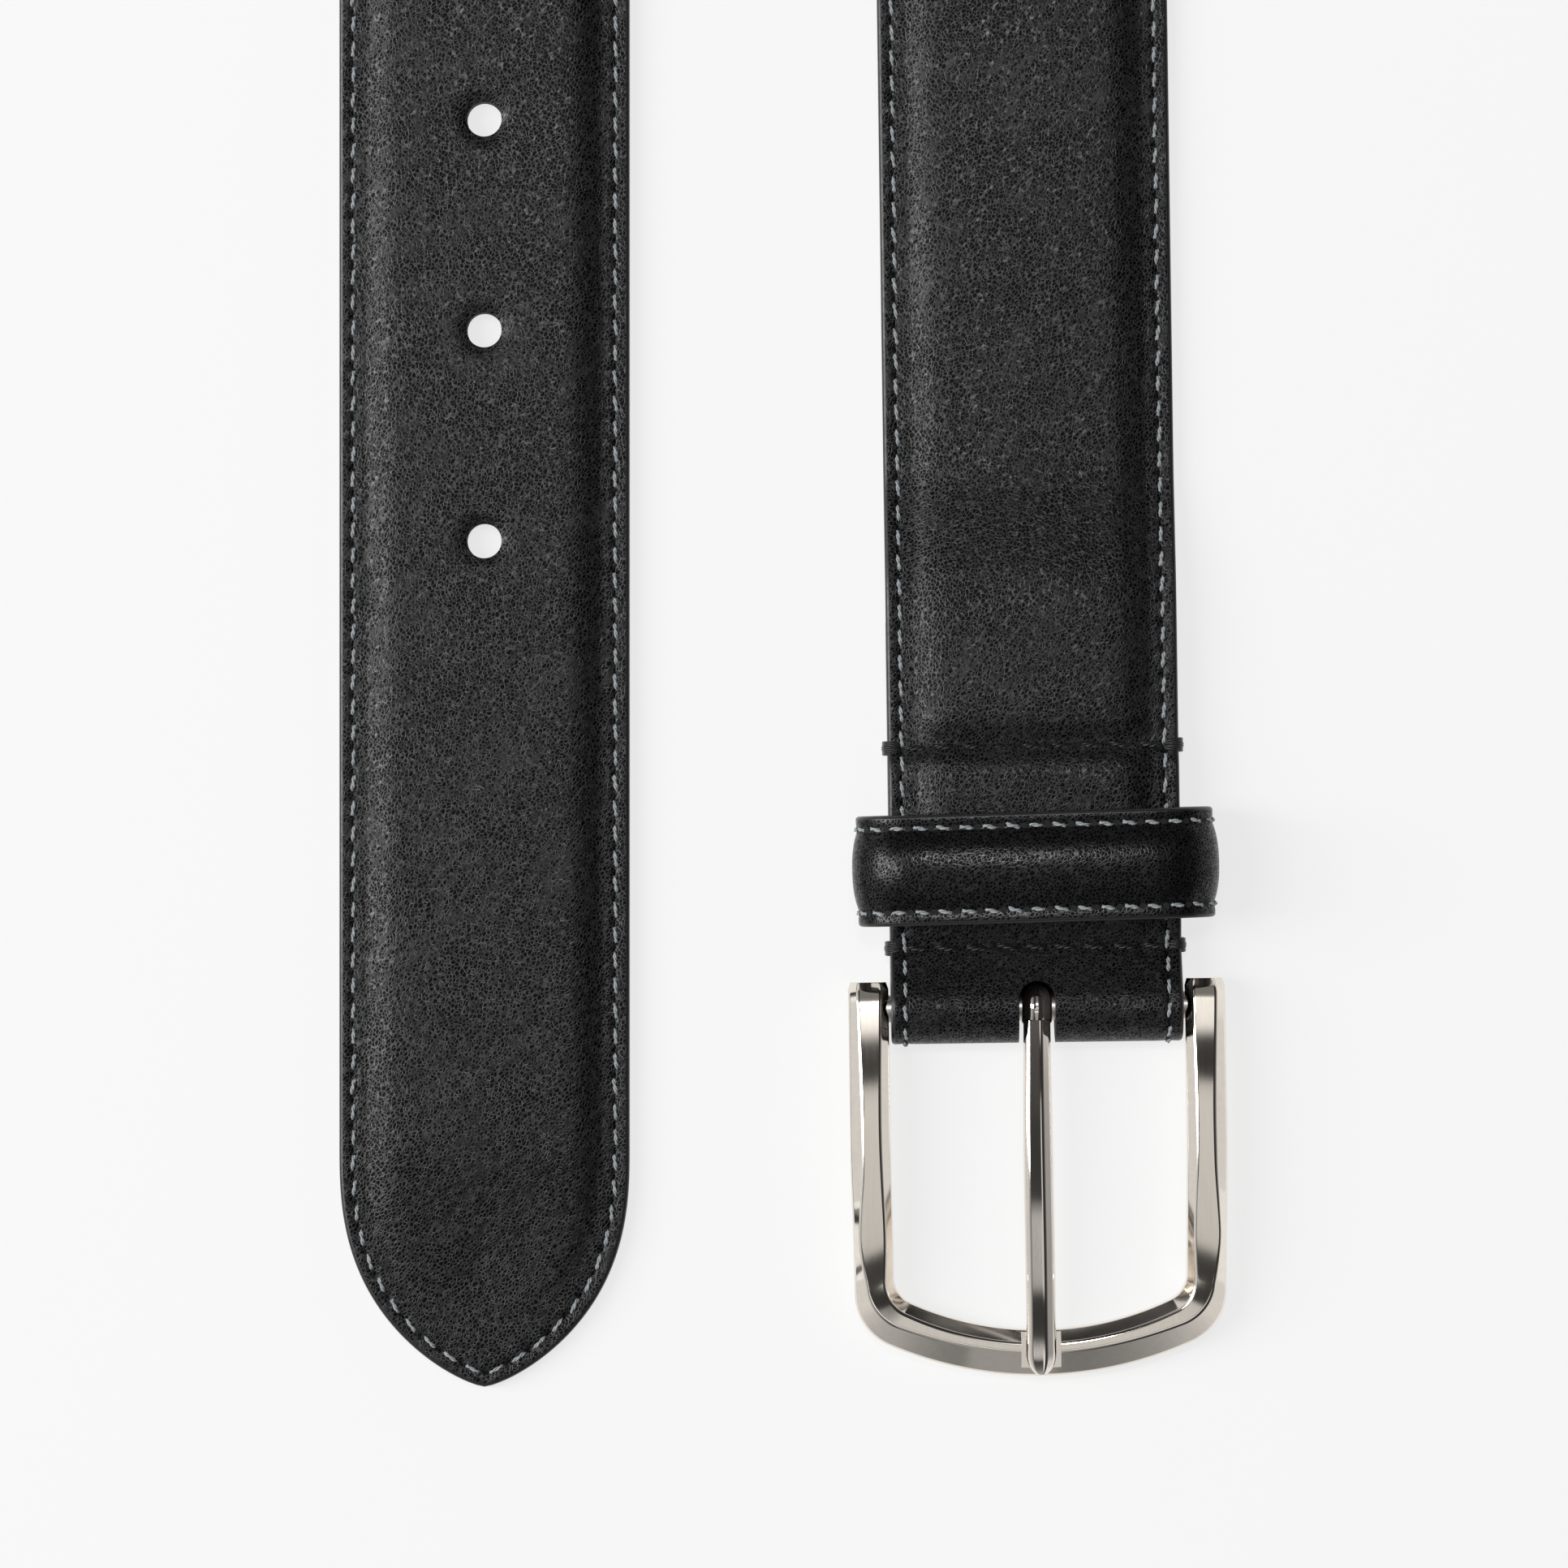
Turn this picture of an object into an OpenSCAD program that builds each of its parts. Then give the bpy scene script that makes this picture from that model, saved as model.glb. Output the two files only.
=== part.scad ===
// Gentlemen's dress belt: a padded leather strap with five punched holes, a
// keeper loop and a frame buckle with a prong. Millimetres, +Z up, grain side
// up. Both ends lie flat; the middle of the strap stands on edge in a loop.

/* [Strap] */
// Distance from the buckle bar to the middle hole, which is the belt's size
belt_size = 950; // [850:50:1150]
// Width of the strap
strap_w = 35; // [34:0.1:35.1]
// Thickness of the grain leather
face_t = 1.15; // [0.9:0.05:1.3]
// Thickness of the lining leather
lining_t = 1.15; // [0.9:0.05:1.3]
// Height of the padding under the middle of the grain leather
pad_h = 1.15; // [0.6:0.05:1.4]
// Flat margin between the padding and the strap's edge
margin_w = 4; // [3:0.1:5]
// Length of the pointed tip
tip_len = 28.6; // [24:0.2:34]

/* [Holes] */
// Number of punched holes
hole_count = 5; // [3:2:7]
// Distance from one hole to the next
hole_pitch = 25.4; // [20:0.1:25.4]
// Diameter of a hole
hole_d = 4.2; // [4:0.1:4.6]
// Distance from the tip to the first hole
first_hole = 102; // [95:1:102]

/* [Stitching] */
// Distance from the strap's edge to its stitched seam
seam_in = 1.7; // [1.4:0.1:2]
// Width of the sewing thread
thread_w = 0.5; // [0.4:0.05:0.6]
// Distance from the bar to the cross seam beside the buckle
near_seam = 7.2; // [7:0.1:7.4]
// Distance from the bar to the cross seam beyond the keeper
far_seam = 31.3; // [31.2:0.1:32]

/* [Turn-back] */
// Length of strap that turns back round the bar, measured from the bar
tail_len = 46.5; // [44:0.5:48]
// Width of the slot for the prong
slot_w = 4.4; // [4.2:0.1:4.8]
// Reach of the slot behind the bar
slot_back = 3.2; // [3.2:0.1:3.6]

/* [Keeper] */
// Width of the keeper along the strap
keeper_w = 13.2; // [12:0.1:13.2]
// Room inside the keeper across the strap
keeper_in = 39.8; // [39:0.1:40.4]
// Distance from the bar to the near side of the keeper
keeper_at = 10.3; // [10.3:0.1:10.8]
// Height of the inside of the keeper above the table
keeper_top = 11.8; // [11.7:0.1:13]
// Tilt of the keeper on the strap
keeper_tilt = 0.9; // [0:0.1:1]

/* [Buckle] */
// Outer width of the frame
frame_w = 45.3; // [44:0.1:46]
// Distance from the bar to the front edge of the frame
frame_front = 44.5; // [43:0.1:46]
// Length of the arms behind the bar
arm_back = 3.2; // [2.8:0.1:3.4]
// Diameter of the bar
bar_d = 3.3; // [3:0.1:3.4]
// Width of the prong's blade
prong_w = 3.6; // [3.2:0.1:3.7]

/* [Lay] */
// Distance between the two ends, measured level with the bar
leg_gap = 66.5; // [64:0.5:75]
// How far the tip lies in front of the bar
tip_ahead = 45; // [30:1:60]
// Angle by which the tip end leans towards the buckle end
tip_lean = 0.79; // [0:0.01:1.5]
// Length of each end that lies flat, measured from the bar
flat_len = 177; // [176:1:200]
// Length over which each end turns onto its edge
twist_len = 140; // [120:5:160]
// Radius of the outward bow where each end meets the loop
bow_r = 120; // [90:5:160]
// Angle of that bow
bow_a = 25; // [15:1:30]

/* [Hidden] */

leather = [0.06, 0.06, 0.065];
lining_black = [0.10, 0.095, 0.09];
fibre = [0.35, 0.27, 0.2];
pale_thread = [0.42, 0.48, 0.52];
black_thread = [0.03, 0.03, 0.03];
nickel = [0.78, 0.75, 0.7];

// Glue line between two layers
glue = 0.05;
// Thickness of lining and grain leather together
pair_t = lining_t + glue + face_t;
half_w = strap_w / 2;
// Running room between the bar and the leather that wraps it
wrap_gap = 0.3;
bar_r = bar_d / 2;
wrap_r = bar_r + wrap_gap;
// The bar lies on the middle of the buckle end's fold
bar_z = pair_t + wrap_r;
// Where the bar is, so that the whole belt's box is centred on the origin
bar_x = 30.8;
bar_y = -229.6;
tip_y = bar_y - tip_ahead;
leg_x = bar_x - leg_gap;

// ---- Vectors and sweeps ----

function unit(v) = v / norm(v);
function smooth(t) = let (c = min(1, max(0, t))) c * c * (3 - 2 * c);
function mix(a, b, t) = a + (b - a) * t;
function last(list) = list[len(list) - 1];

// A frame is [point, side, up, half width, padding from 0 to 1].
// A section is [places across, heights below, heights above].
function ring(f, section) = concat(
    [for (i = [0:len(section[0]) - 1]) f[0] + f[1] * section[0][i] + f[2] * section[2][i]],
    [for (i = [len(section[0]) - 1:-1:0]) f[0] + f[1] * section[0][i] + f[2] * section[1][i]]
);

// Triangles between ring a and ring a + 1, each of n points. The upper and the
// lower side are split along the same diagonal, so that layers stay parallel.
function wall(a, n) = [
    for (i = [0:n - 1], half = [0, 1])
        let (p = a * n + i, q = a * n + (i + 1) % n)
        i < n / 2
            ? (half == 0 ? [p, q + n, q] : [p, p + n, q + n])
            : (half == 0 ? [p, p + n, q] : [p + n, q + n, q])
];

// Triangles that close ring a, whose upper and lower points match in pairs
function cap(a, n, flip) = [
    for (i = [0:n / 2 - 2], half = [0, 1])
        let (p = a * n + i, q = a * n + n - 1 - i)
        let (t = half == 0 ? [p, q, p + 1] : [q, q - 1, p + 1])
        flip ? [t[2], t[1], t[0]] : t
];

module loft(rings) {
    n = len(rings[0]);
    ends = len(rings) - 1;
    polyhedron(
        points = [for (r = rings) for (p = r) p],
        faces = concat(
            cap(0, n, true),
            [for (a = [0:ends - 1]) for (t = wall(a, n)) t],
            cap(ends, n, false)
        )
    );
}

// Rings of a flat thread, w wide and h high, that follows points with their ups
function thread_rings(points, ups, w, h) = [
    for (i = [0:len(points) - 1])
        let (before = points[max(0, i - 1)], after = points[min(len(points) - 1, i + 1)])
        let (side = unit(cross(after - before, ups[i])))
        ring([points[i], side, unit(ups[i])], [[-w / 2, w / 2], [-h / 2, -h / 2], [h / 2, h / 2]])
];

// ---- The strap's path, from the tip to the end of the turn-back ----

lean_dir = [sin(tip_lean), cos(tip_lean), 0];
lean_side = [cos(tip_lean), -sin(tip_lean), 0];
apex = [leg_x - tip_ahead * tan(tip_lean), tip_y, 0];

// Half width of the pointed end at a distance from its apex, and its padding
ogive = 2.6;
fullness = 0.74;
pad_start = 6;
pad_run = tip_len - 4;
function tip_half(d) = half_w * pow(1 - pow(max(0, 1 - d / tip_len), ogive), fullness);
function tip_pad(d) = smooth((d - pad_start) / pad_run);

tip_steps = [0.15, 0.6, 1.4, 2.8, 4.8, 7.5, 11, 15.5, 21, tip_len];
tip_frames = [
    for (d = tip_steps) [apex + lean_dir * d, lean_side, [0, 0, 1], tip_half(d), tip_pad(d)]
];

// One frame of a leg turned by angle a onto its outer edge, at ground point p
function edge_frame(p, flat_side, a) = [
    p + [0, 0, half_w * sin(a)],
    flat_side * cos(a) + [0, 0, sin(a)],
    flat_side * -sin(a) + [0, 0, cos(a)],
    half_w, 1
];

twist_steps = 14;
leg_flat = flat_len + tip_ahead;
tip_leg = [
    for (i = [0:twist_steps])
        let (t = i / twist_steps)
        edge_frame(apex + lean_dir * (leg_flat + twist_len * t), lean_side, 90 * smooth(t))
];

// The loop bows out by bow_a, turns back round a wide arc and bows in again.
// Its radius and place follow from the strap's length.
start_a = 90 - tip_lean;
wide_a = start_a + bow_a;
sweep_a = wide_a + 90 + bow_a;
span = cos(bow_a) + sin(wide_a);
bow_x = bow_r * (1 - cos(bow_a)) - bow_r * (sin(wide_a) - sin(start_a));
bow_y = bow_r * (cos(start_a) - cos(wide_a)) - bow_r * sin(bow_a);
turn_y = -sin(bow_a) - cos(wide_a);
per_r = (sweep_a * PI / 180 + turn_y) / span;
strap_len = belt_size + hole_pitch * (hole_count - 1) / 2 + first_hole;
bows_len = 2 * bow_r * bow_a * PI / 180;
run = 1 / cos(tip_lean) - per_r * tan(tip_lean);
legs_len = strap_len + bar_y - bow_y - bows_len;
loop_y = (legs_len - per_r * (bar_x - apex[0] + bow_x) + tip_y * run) / (1 + run);
loop_x = apex[0] + (loop_y - tip_y) * tan(tip_lean);
loop_r = (bar_x - loop_x + bow_x) / span;

// Point after an arc from p, heading a, turned by b (left is positive)
function arc_end(p, r, a, b) = b > 0
    ? p + r * [sin(a + b) - sin(a), cos(a) - cos(a + b), 0]
    : p + r * [sin(a) - sin(a + b), cos(a + b) - cos(a), 0];

// A frame that stands on the strap's edge at ground point p
function standing(p, heading) = [
    p + [0, 0, half_w], [0, 0, 1], [-sin(heading), cos(heading), 0], half_w, 1
];

loop_start = [loop_x, loop_y, 0];
bow_end = arc_end(loop_start, bow_r, start_a, bow_a);
turn_end = arc_end(bow_end, loop_r, wide_a, -sweep_a);
bow_steps = 3;
turn_steps = 23;
loop_frames = concat(
    [for (i = [0:bow_steps]) let (b = bow_a * i / bow_steps)
        standing(arc_end(loop_start, bow_r, start_a, b), start_a + b)],
    [for (i = [1:turn_steps]) let (b = sweep_a * i / turn_steps)
        standing(arc_end(bow_end, loop_r, wide_a, -b), wide_a - b)],
    [for (i = [1:bow_steps]) let (b = bow_a * i / bow_steps)
        standing(arc_end(turn_end, bow_r, -90 - bow_a, b), -90 - bow_a + b)]
);

buckle_leg = [
    for (i = [twist_steps:-1:0])
        let (t = i / twist_steps)
        edge_frame([bar_x, bar_y + flat_len + twist_len * t, 0], [-1, 0, 0], 90 * smooth(t))
];

// The underside of the strap near the buckle as [distance from the bar, height, padding]
ramp_start = 66;
rest_z = pair_t + 0.25;
keeper_z = pair_t + 1.2;
near_z = pair_t + 0.4;
keeper_end = keeper_at + keeper_w;
hump = [
    [ramp_start, 0, 1],
    [ramp_start - 3, 0.2, 1],
    [tail_len + 5, rest_z - 0.25, 1],
    [tail_len + 1.5, rest_z, 1],
    [far_seam + 2.2, rest_z, 0.85],
    [far_seam + 0.7, rest_z, 0.4],
    [far_seam - 0.7, rest_z, 0.4],
    [keeper_end + 5.7, keeper_z, 0.85],
    [keeper_end, keeper_z, 0.95],
    [keeper_at + 2, keeper_z, 0.45],
    [keeper_at - 0.8, keeper_z, 0.1],
    [near_seam + 0.5, near_z, 0],
    [near_seam - 0.5, near_z, 0]
];

// Angle at which the straight run from the last hump point meets the wrap round the bar
hump_end = last(hump);
reach = norm([hump_end[0], hump_end[1] - bar_z]);
touch_a = atan2(hump_end[1] - bar_z, hump_end[0]) + acos(wrap_r / reach);
wrap_steps = 14;
wrap = [
    for (i = [0:wrap_steps])
        let (a = mix(touch_a, 270, i / wrap_steps))
        [wrap_r * cos(a), bar_z + wrap_r * sin(a), 0]
];
// The wrap ends, above and below, just short of the slot's round end
wrap_end = slot_back - 0.25;
wrap_share = (hump_end[0] - wrap_end) / (hump_end[0] - wrap[0][0]);
wrap_top = [wrap_end, mix(hump_end[1], wrap[0][1], wrap_share), 0];
wrap_bottom = [wrap_end, pair_t, 0];
side_path = concat(
    [[flat_len, 0, 1]], hump, [wrap_top], wrap, [wrap_bottom, [tail_len, pair_t, 0]]
);

// Upward normal between two points of the side path, and its mitre at a corner
function run_normal(a, b) = let (d = unit([b[0] - a[0], b[1] - a[1]])) [d[1], -d[0]];
function mitre(i) =
    let (a = run_normal(side_path[i - 1], side_path[i]))
    let (b = i < len(side_path) - 1 ? run_normal(side_path[i], side_path[i + 1]) : a)
    (a + b) / (1 + a * b);
// At the wrap's two ends the layers are cut upright, so that the slot parts it in two
function upright(i) = [0, 1 / run_normal(side_path[i], side_path[i + 1])[1]];
turn_frames = [
    for (i = [1:len(side_path) - 1])
        let (p = side_path[i], m = p[0] == wrap_end ? upright(i) : mitre(i))
        [[bar_x, bar_y + p[0], p[1]], [-1, 0, 0], [0, m[0], m[1]], half_w, p[2]]
];

path = concat(tip_frames, tip_leg, loop_frames, buckle_leg, turn_frames);

// Each layer of leather is one strip. It is drawn in lengths, which meet where
// the strap starts to turn onto its edge and on both sides of the bar.
tip_stop = len(tip_frames);
loop_stop = len(path) - len(turn_frames) - 1;
fold_stop = loop_stop + len(hump) + 1;
wrap_stop = len(path) - 2;
function part_of_path(from, to) = [for (i = [from:to]) path[i]];
tip_path = part_of_path(0, tip_stop);
loop_path = part_of_path(tip_stop, loop_stop);
fold_path = part_of_path(loop_stop, fold_stop);
wrap_path = part_of_path(fold_stop, wrap_stop);
tail_path = part_of_path(wrap_stop, len(path) - 1);

// ---- Sections of the strap's layers ----

// Places across the strap: edge, foot of the padding, its shoulder and its top
function places(f) =
    let (foot = max(f[3] - margin_w, f[3] * 0.4))
    [-f[3], -foot, -foot * 0.9, -foot * 0.78, foot * 0.78, foot * 0.9, foot, f[3]];
rise = [0, 0.12, 0.55, 0.95, 0.95, 0.55, 0.12, 0];

function under_face(f) = [
    for (i = [0:7])
        lining_t + glue + pad_h * f[4] * rise[i] + (i > 0 && i < 7 && f[4] > 0 ? glue : 0)
];
function face_section(f) = let (low = under_face(f)) [places(f), low, [for (n = low) n + face_t]];
function lining_section(f) = [places(f), [for (i = [0:7]) 0], [for (i = [0:7]) lining_t]];
function filler_section(f) =
    let (u = places(f), base = lining_t + glue)
    [[for (i = [1:6]) u[i]], [for (i = [1:6]) base], [for (i = [1:6]) base + pad_h * f[4] * rise[i]]];

// The punched holes, each a plain cylinder through every layer
function hole_at(i) = apex + lean_dir * (first_hole + hole_pitch * i);
module holes() {
    for (i = [0:hole_count - 1]) {
        translate(hole_at(i) - [0, 0, 1])
            cylinder(d = hole_d, h = pair_t + pad_h + 3, $fn = 48);
    }
}

// The slot through both sides of the fold, open towards the buckle
module slot() {
    translate([bar_x, bar_y + slot_back - slot_w / 2, -1]) {
        cylinder(d = slot_w, h = 3 * bar_z, $fn = 48);
        translate([-slot_w / 2, -4 * bar_z, 0])
            cube([slot_w, 4 * bar_z, 3 * bar_z]);
    }
}

module face_layer(frames) {
    color(leather)
        loft([for (f = frames) ring(f, face_section(f))]);
}

module lining_layer(frames) {
    color(lining_black)
        loft([for (f = frames) ring(f, lining_section(f))]);
}

module tip_face() {
    difference() {
        face_layer(tip_path);
        holes();
    }
}

module loop_face() {
    face_layer(loop_path);
}

module fold_face() {
    difference() {
        face_layer(fold_path);
        slot();
    }
}

module wrap_face() {
    difference() {
        face_layer(wrap_path);
        slot();
    }
}

module tail_face() {
    difference() {
        face_layer(tail_path);
        slot();
    }
}

module tip_lining() {
    difference() {
        lining_layer(tip_path);
        holes();
    }
}

module loop_lining() {
    lining_layer(loop_path);
}

module fold_lining() {
    difference() {
        lining_layer(fold_path);
        slot();
    }
}

module wrap_lining() {
    difference() {
        lining_layer(wrap_path);
        slot();
    }
}

module tail_lining() {
    difference() {
        lining_layer(tail_path);
        slot();
    }
}

// Shaped leather board that pads the middle and stops short of the tip and the fold
thinnest = 0.08;
module strap_filler() {
    color(fibre)
        difference() {
            loft([for (f = path) if (f[4] > thinnest) ring(f, filler_section(f))]);
            holes();
        }
}

// ---- Seams ----

// A sewing thread lies half sunk in the leather
thread_t = 0.4;
needle_z = pair_t + 0.1;
bobbin_z = 0.2;
seam_steps = [for (f = path) if (f[3] > 5 * seam_in) f];
// On the turn-back the seam is pressed in flush, because the belt lies on it.
function flush(f, h) = f[2][2] < -0.5 ? min(h, pair_t - thread_t / 2) : h;
function seam_point(f, side, h) =
    f[0] + f[1] * side * (f[3] - seam_in) + f[2] * flush(f, h);
function seam_points(side, h) = [for (f = seam_steps) seam_point(f, side, h)];
function backwards(list) = [for (i = [len(list) - 1:-1:0]) list[i]];

// One seam: down one edge, round the tip and back up the other edge
module seam(h) {
    ups = [for (f = seam_steps) f[2]];
    turn = apex + lean_dir * (seam_in + thread_w) + [0, 0, h];
    loft(thread_rings(
        concat(backwards(seam_points(-1, h)), [turn], seam_points(1, h)),
        concat(backwards(ups), [[0, 0, 1]], ups),
        thread_w, thread_t
    ));
}

module needle_thread() {
    color(pale_thread) seam(needle_z);
}

module bobbin_thread() {
    color(pale_thread) seam(bobbin_z);
}

// A seam across the buckle end, bound over both edges: z is the strap's underside
module cross_stitch(from_bar, z, padding) {
    over = 0.3;
    sunk = 0.35;
    side_over = 0.4;
    side_sunk = 0.2;
    f = [[0, 0, z], [1, 0, 0], [0, 0, 1], half_w, padding];
    shape = face_section(f);
    wide = half_w + side_over;
    outer = concat(
        [[wide, 0], [wide, z + pair_t]],
        [for (i = [7:-1:0]) [shape[0][i], z + shape[2][i] + over]],
        [[-wide, z + pair_t], [-wide, 0]]
    );
    inner = concat(
        [[half_w - side_sunk, sunk]],
        [for (i = [6:-1:1]) [shape[0][i], z + shape[2][i] - sunk]],
        [[sunk - half_w, z + pair_t - sunk], [sunk - half_w, sunk]]
    );
    color(black_thread)
        translate([bar_x, bar_y + from_bar + thread_w / 2, 0])
            rotate([90, 0, 0])
                linear_extrude(thread_w)
                    difference() {
                        polygon(outer);
                        polygon(inner);
                    }
}

module near_cross_stitch() {
    cross_stitch(near_seam, near_z, 0);
}

module far_cross_stitch() {
    cross_stitch(far_seam, rest_z, 0.4);
}

// ---- Keeper ----

keeper_mid = keeper_at + keeper_w / 2;
keeper_back_t = 0.9;
// The back of the keeper runs between the strap and its turn-back
keeper_low = pair_t + 0.15 + keeper_back_t;
low_r = 1.2;
high_r = 3.4;
keeper_lining_t = 0.75;
keeper_pad_h = 0.85;
keeper_face_t = 1;
// Distance of a stitched row from the keeper's edge
row_in = 1.6;
keeper_half = keeper_in / 2;
butt_gap = 0.1;
corner_steps = 6;

// Half of the keeper's inner line as [x, z, outward x, outward z, 1 on its padded front]
function corner(x, z, r, from, to, full) = [
    for (i = [0:corner_steps])
        let (a = mix(from, to, i / corner_steps))
        [x + r * cos(a), z + r * sin(a), cos(a), sin(a), full ? 1 : 0]
];
top_rise = 0.6;
top_lean = 0.08;
// The front's layers start this far above the lower corner
front_above = 1.5;
half_line = concat(
    [[butt_gap / 2, keeper_low, 0, -1, 0]],
    corner(keeper_half - low_r, keeper_low + low_r, low_r, -90, 0, false),
    [[keeper_half, keeper_low + low_r + front_above, 1, 0, 1]],
    corner(keeper_half - high_r, keeper_top - high_r, high_r, 0, 80, true),
    [for (x = [0.7, 0.4, 0]) [x * keeper_half, keeper_top + top_rise * (1 - x * x), x * top_lean, 1, 1]]
);
keeper_line = concat(
    half_line,
    [for (i = [len(half_line) - 2:-1:0])
        let (p = half_line[i]) [-p[0], p[1], -p[2], p[3], p[4]]]
);
function keeper_frame(p) = [
    [p[0], 0, p[1]], [0, 1, 0], unit([p[2], 0, p[3]]), keeper_w / 2, p[4]
];
front_line = [for (p = keeper_line) if (p[4] == 1) p];
// The padding starts above this height
pad_from = keeper_low + 4;
pad_line = [for (p = front_line) if (p[1] > pad_from) p];

// Places across the keeper and how far the padding lifts each of them
keeper_u = [-0.5, -0.35, -0.22, 0.22, 0.35, 0.5];
keeper_rise = [0, 0.15, 1, 1, 0.15, 0];
function padded_here(p) = p[1] > pad_from ? 1 : 0;

function keeper_under(p) = [
    for (k = keeper_rise) p[4] * (keeper_lining_t + glue) + padded_here(p) * (keeper_pad_h * k + glue)
];
function keeper_section(p) =
    let (low = keeper_under(p), t = p[4] == 1 ? keeper_face_t : keeper_back_t)
    [keeper_u * keeper_w, low, [for (n = low) n + t]];

module keeper_place() {
    translate([bar_x, bar_y + keeper_mid, 0])
        rotate([0, 0, keeper_tilt])
            children();
}

module keeper_face() {
    color(leather)
        keeper_place()
            loft([for (p = keeper_line) ring(keeper_frame(p), keeper_section(p))]);
}

module keeper_lining() {
    section = [keeper_u * keeper_w, 0 * keeper_rise, [for (k = keeper_rise) keeper_lining_t]];
    color(lining_black)
        keeper_place()
            loft([for (p = front_line) ring(keeper_frame(p), section)]);
}

module keeper_filler() {
    base = keeper_lining_t + glue;
    u = [for (i = [1:4]) keeper_u[i] * keeper_w];
    section = [u, [for (i = [1:4]) base], [for (i = [1:4]) base + keeper_pad_h * keeper_rise[i]]];
    color(fibre)
        keeper_place()
            loft([for (p = pad_line) ring(keeper_frame(p), section)]);
}

// A stitched row round the front of the keeper, at a place across it
module keeper_row(at) {
    h = keeper_lining_t + glue + keeper_face_t + 0.1;
    frames = [for (p = front_line) keeper_frame(p)];
    color(pale_thread)
        keeper_place()
            loft(thread_rings(
                [for (f = frames) f[0] + f[1] * at + f[2] * h],
                [for (f = frames) f[2]],
                thread_w, thread_t
            ));
}

module keeper_near_stitch() {
    keeper_row(row_in - keeper_w / 2);
}

module keeper_far_stitch() {
    keeper_row(keeper_w / 2 - row_in);
}

// Flat wire staple that joins the two butted ends behind the strap
module keeper_staple() {
    wire = 0.45;
    staple_w = 7;
    grip = 2.4;
    middle = keeper_low - keeper_back_t / 2;
    color(nickel)
        keeper_place()
            translate([0, 0, middle])
                for (side = [-1, 1]) {
                    translate([-grip, side * staple_w / 2 - wire / 2, -wire / 2])
                        cube([2 * grip, wire, wire]);
                }
}

// ---- Buckle ----

frame_half = frame_w / 2;
frame_in = 17.8;
front_bar_w = 5.6;
// Radii of the front bar's arc and of the corners, outside and inside
front_r = 44.6;
corner_r = 7;
front_in_r = 36.9;
corner_in_r = 3.5;
// How much closer the arms are at the corners than at their ends
side_ease = 0.3;
side_in_ease = 0.2;

// Half outline: a side line that eases in to x, a corner arc of radius rc and
// an arc of radius r that crosses the middle line at y = front
side_steps = [1, 0.93, 0.55, 0.25, 0];
arc_steps = 5;
function outline(top_x, x, front, r, rc) =
    let (mid_y = front + r, cx = x - rc, cy = mid_y - sqrt(pow(r - rc, 2) - cx * cx))
    let (end_a = atan2(cy - mid_y, cx))
    concat(
        [for (t = side_steps) [mix(x, top_x, smooth(2 * t)), mix(cy, arm_back, t)]],
        [for (i = [1:arc_steps]) let (a = end_a * i / arc_steps) [cx + rc * cos(a), cy + rc * sin(a)]],
        [for (i = [1:arc_steps])
            let (a = mix(end_a, -90, i / arc_steps)) [r * cos(a), mid_y + r * sin(a)]]
    );
outer_half = outline(frame_half, frame_half - side_ease, -frame_front, front_r, corner_r);
inner_half = outline(
    frame_in, frame_in - side_in_ease, front_bar_w - frame_front, front_in_r, corner_in_r
);
function both_sides(half) = concat(
    [for (p = half) [-p[0], p[1]]], [for (i = [len(half) - 2:-1:0]) half[i]]
);
outer_line = both_sides(outer_half);
inner_line = both_sides(inner_half);

// The frame is arched along its length: [height, place along it, bend] of an arch
top_arch = [7.35, -15, 0.0031];
low_arch = [2.5, -14, 0.0034];
blade_arch = [7.5, -18, 0.0026];
function arch(shape, y) = shape[0] - shape[2] * pow(y - shape[1], 2);

// How far the profile has changed from an arm's, 0, to the front bar's, 1
front_from = 26;
front_run = 16;
function front_share(y) = smooth((-y - front_from) / front_run);

// Inner bevel, outer bevel and the outer bevel's drop
arm_bevels = [0.9, 1.1, 1.1];
front_bevels = [1.6, 3, 1.9];
// How much lower the arms are at their ends
end_drop = 1.3;
// The walls' draft, the inner bevel's drop, the bottom's bevels and their heights
draft_in = 0.1;
draft_out = 0.15;
drop_in = 1.6;
foot = 0.6;
foot_in_h = 1.2;
foot_out_h = 1.5;

function frame_ring(i) =
    let (a = inner_line[i], b = outer_line[i], e = unit(b - a), y = (a[1] + b[1]) / 2)
    let (bevels = mix(arm_bevels, front_bevels, front_share(y)))
    let (is_end = i == 0 || i == len(inner_line) - 1)
    let (top = arch(top_arch, y) - (is_end ? end_drop : 0), low = max(0, arch(low_arch, y)))
    let (at = function (p, z) [p[0], p[1], z])
    [
        at(a + e * bevels[0], top),
        at(b - e * bevels[1], top),
        at(b - e * draft_out, top - bevels[2]),
        at(b, low + foot_out_h),
        at(b - e * foot, low),
        at(a + e * foot, low),
        at(a, low + foot_in_h),
        at(a + e * draft_in, top - drop_in)
    ];

// The notch in the front bar, in which the prong rests, and the bar's seats in the arms
notch_w = 4.8;
notch_z = 3.9;
notch_h = 5;
seat_depth = 2.6;
bar_half = frame_in + seat_depth;

module buckle_place() {
    translate([bar_x, bar_y, 0]) children();
}

module bar_cylinder() {
    translate([-bar_half, 0, bar_z])
        rotate([0, 90, 0])
            cylinder(r = bar_r, h = 2 * bar_half, $fn = 48);
}

module buckle_frame() {
    color(nickel)
        buckle_place()
            difference() {
                loft([for (i = [0:len(inner_line) - 1]) frame_ring(i)]);
                translate([-notch_w / 2, -frame_front - 1, notch_z])
                    cube([notch_w, front_bar_w + 2, notch_h]);
                bar_cylinder();
            }
}

module buckle_bar() {
    color(nickel)
        buckle_place()
            bar_cylinder();
}

// ---- Prong ----

hub_bore_r = bar_r + 0.08;
hub_w = 3.6;
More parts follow.
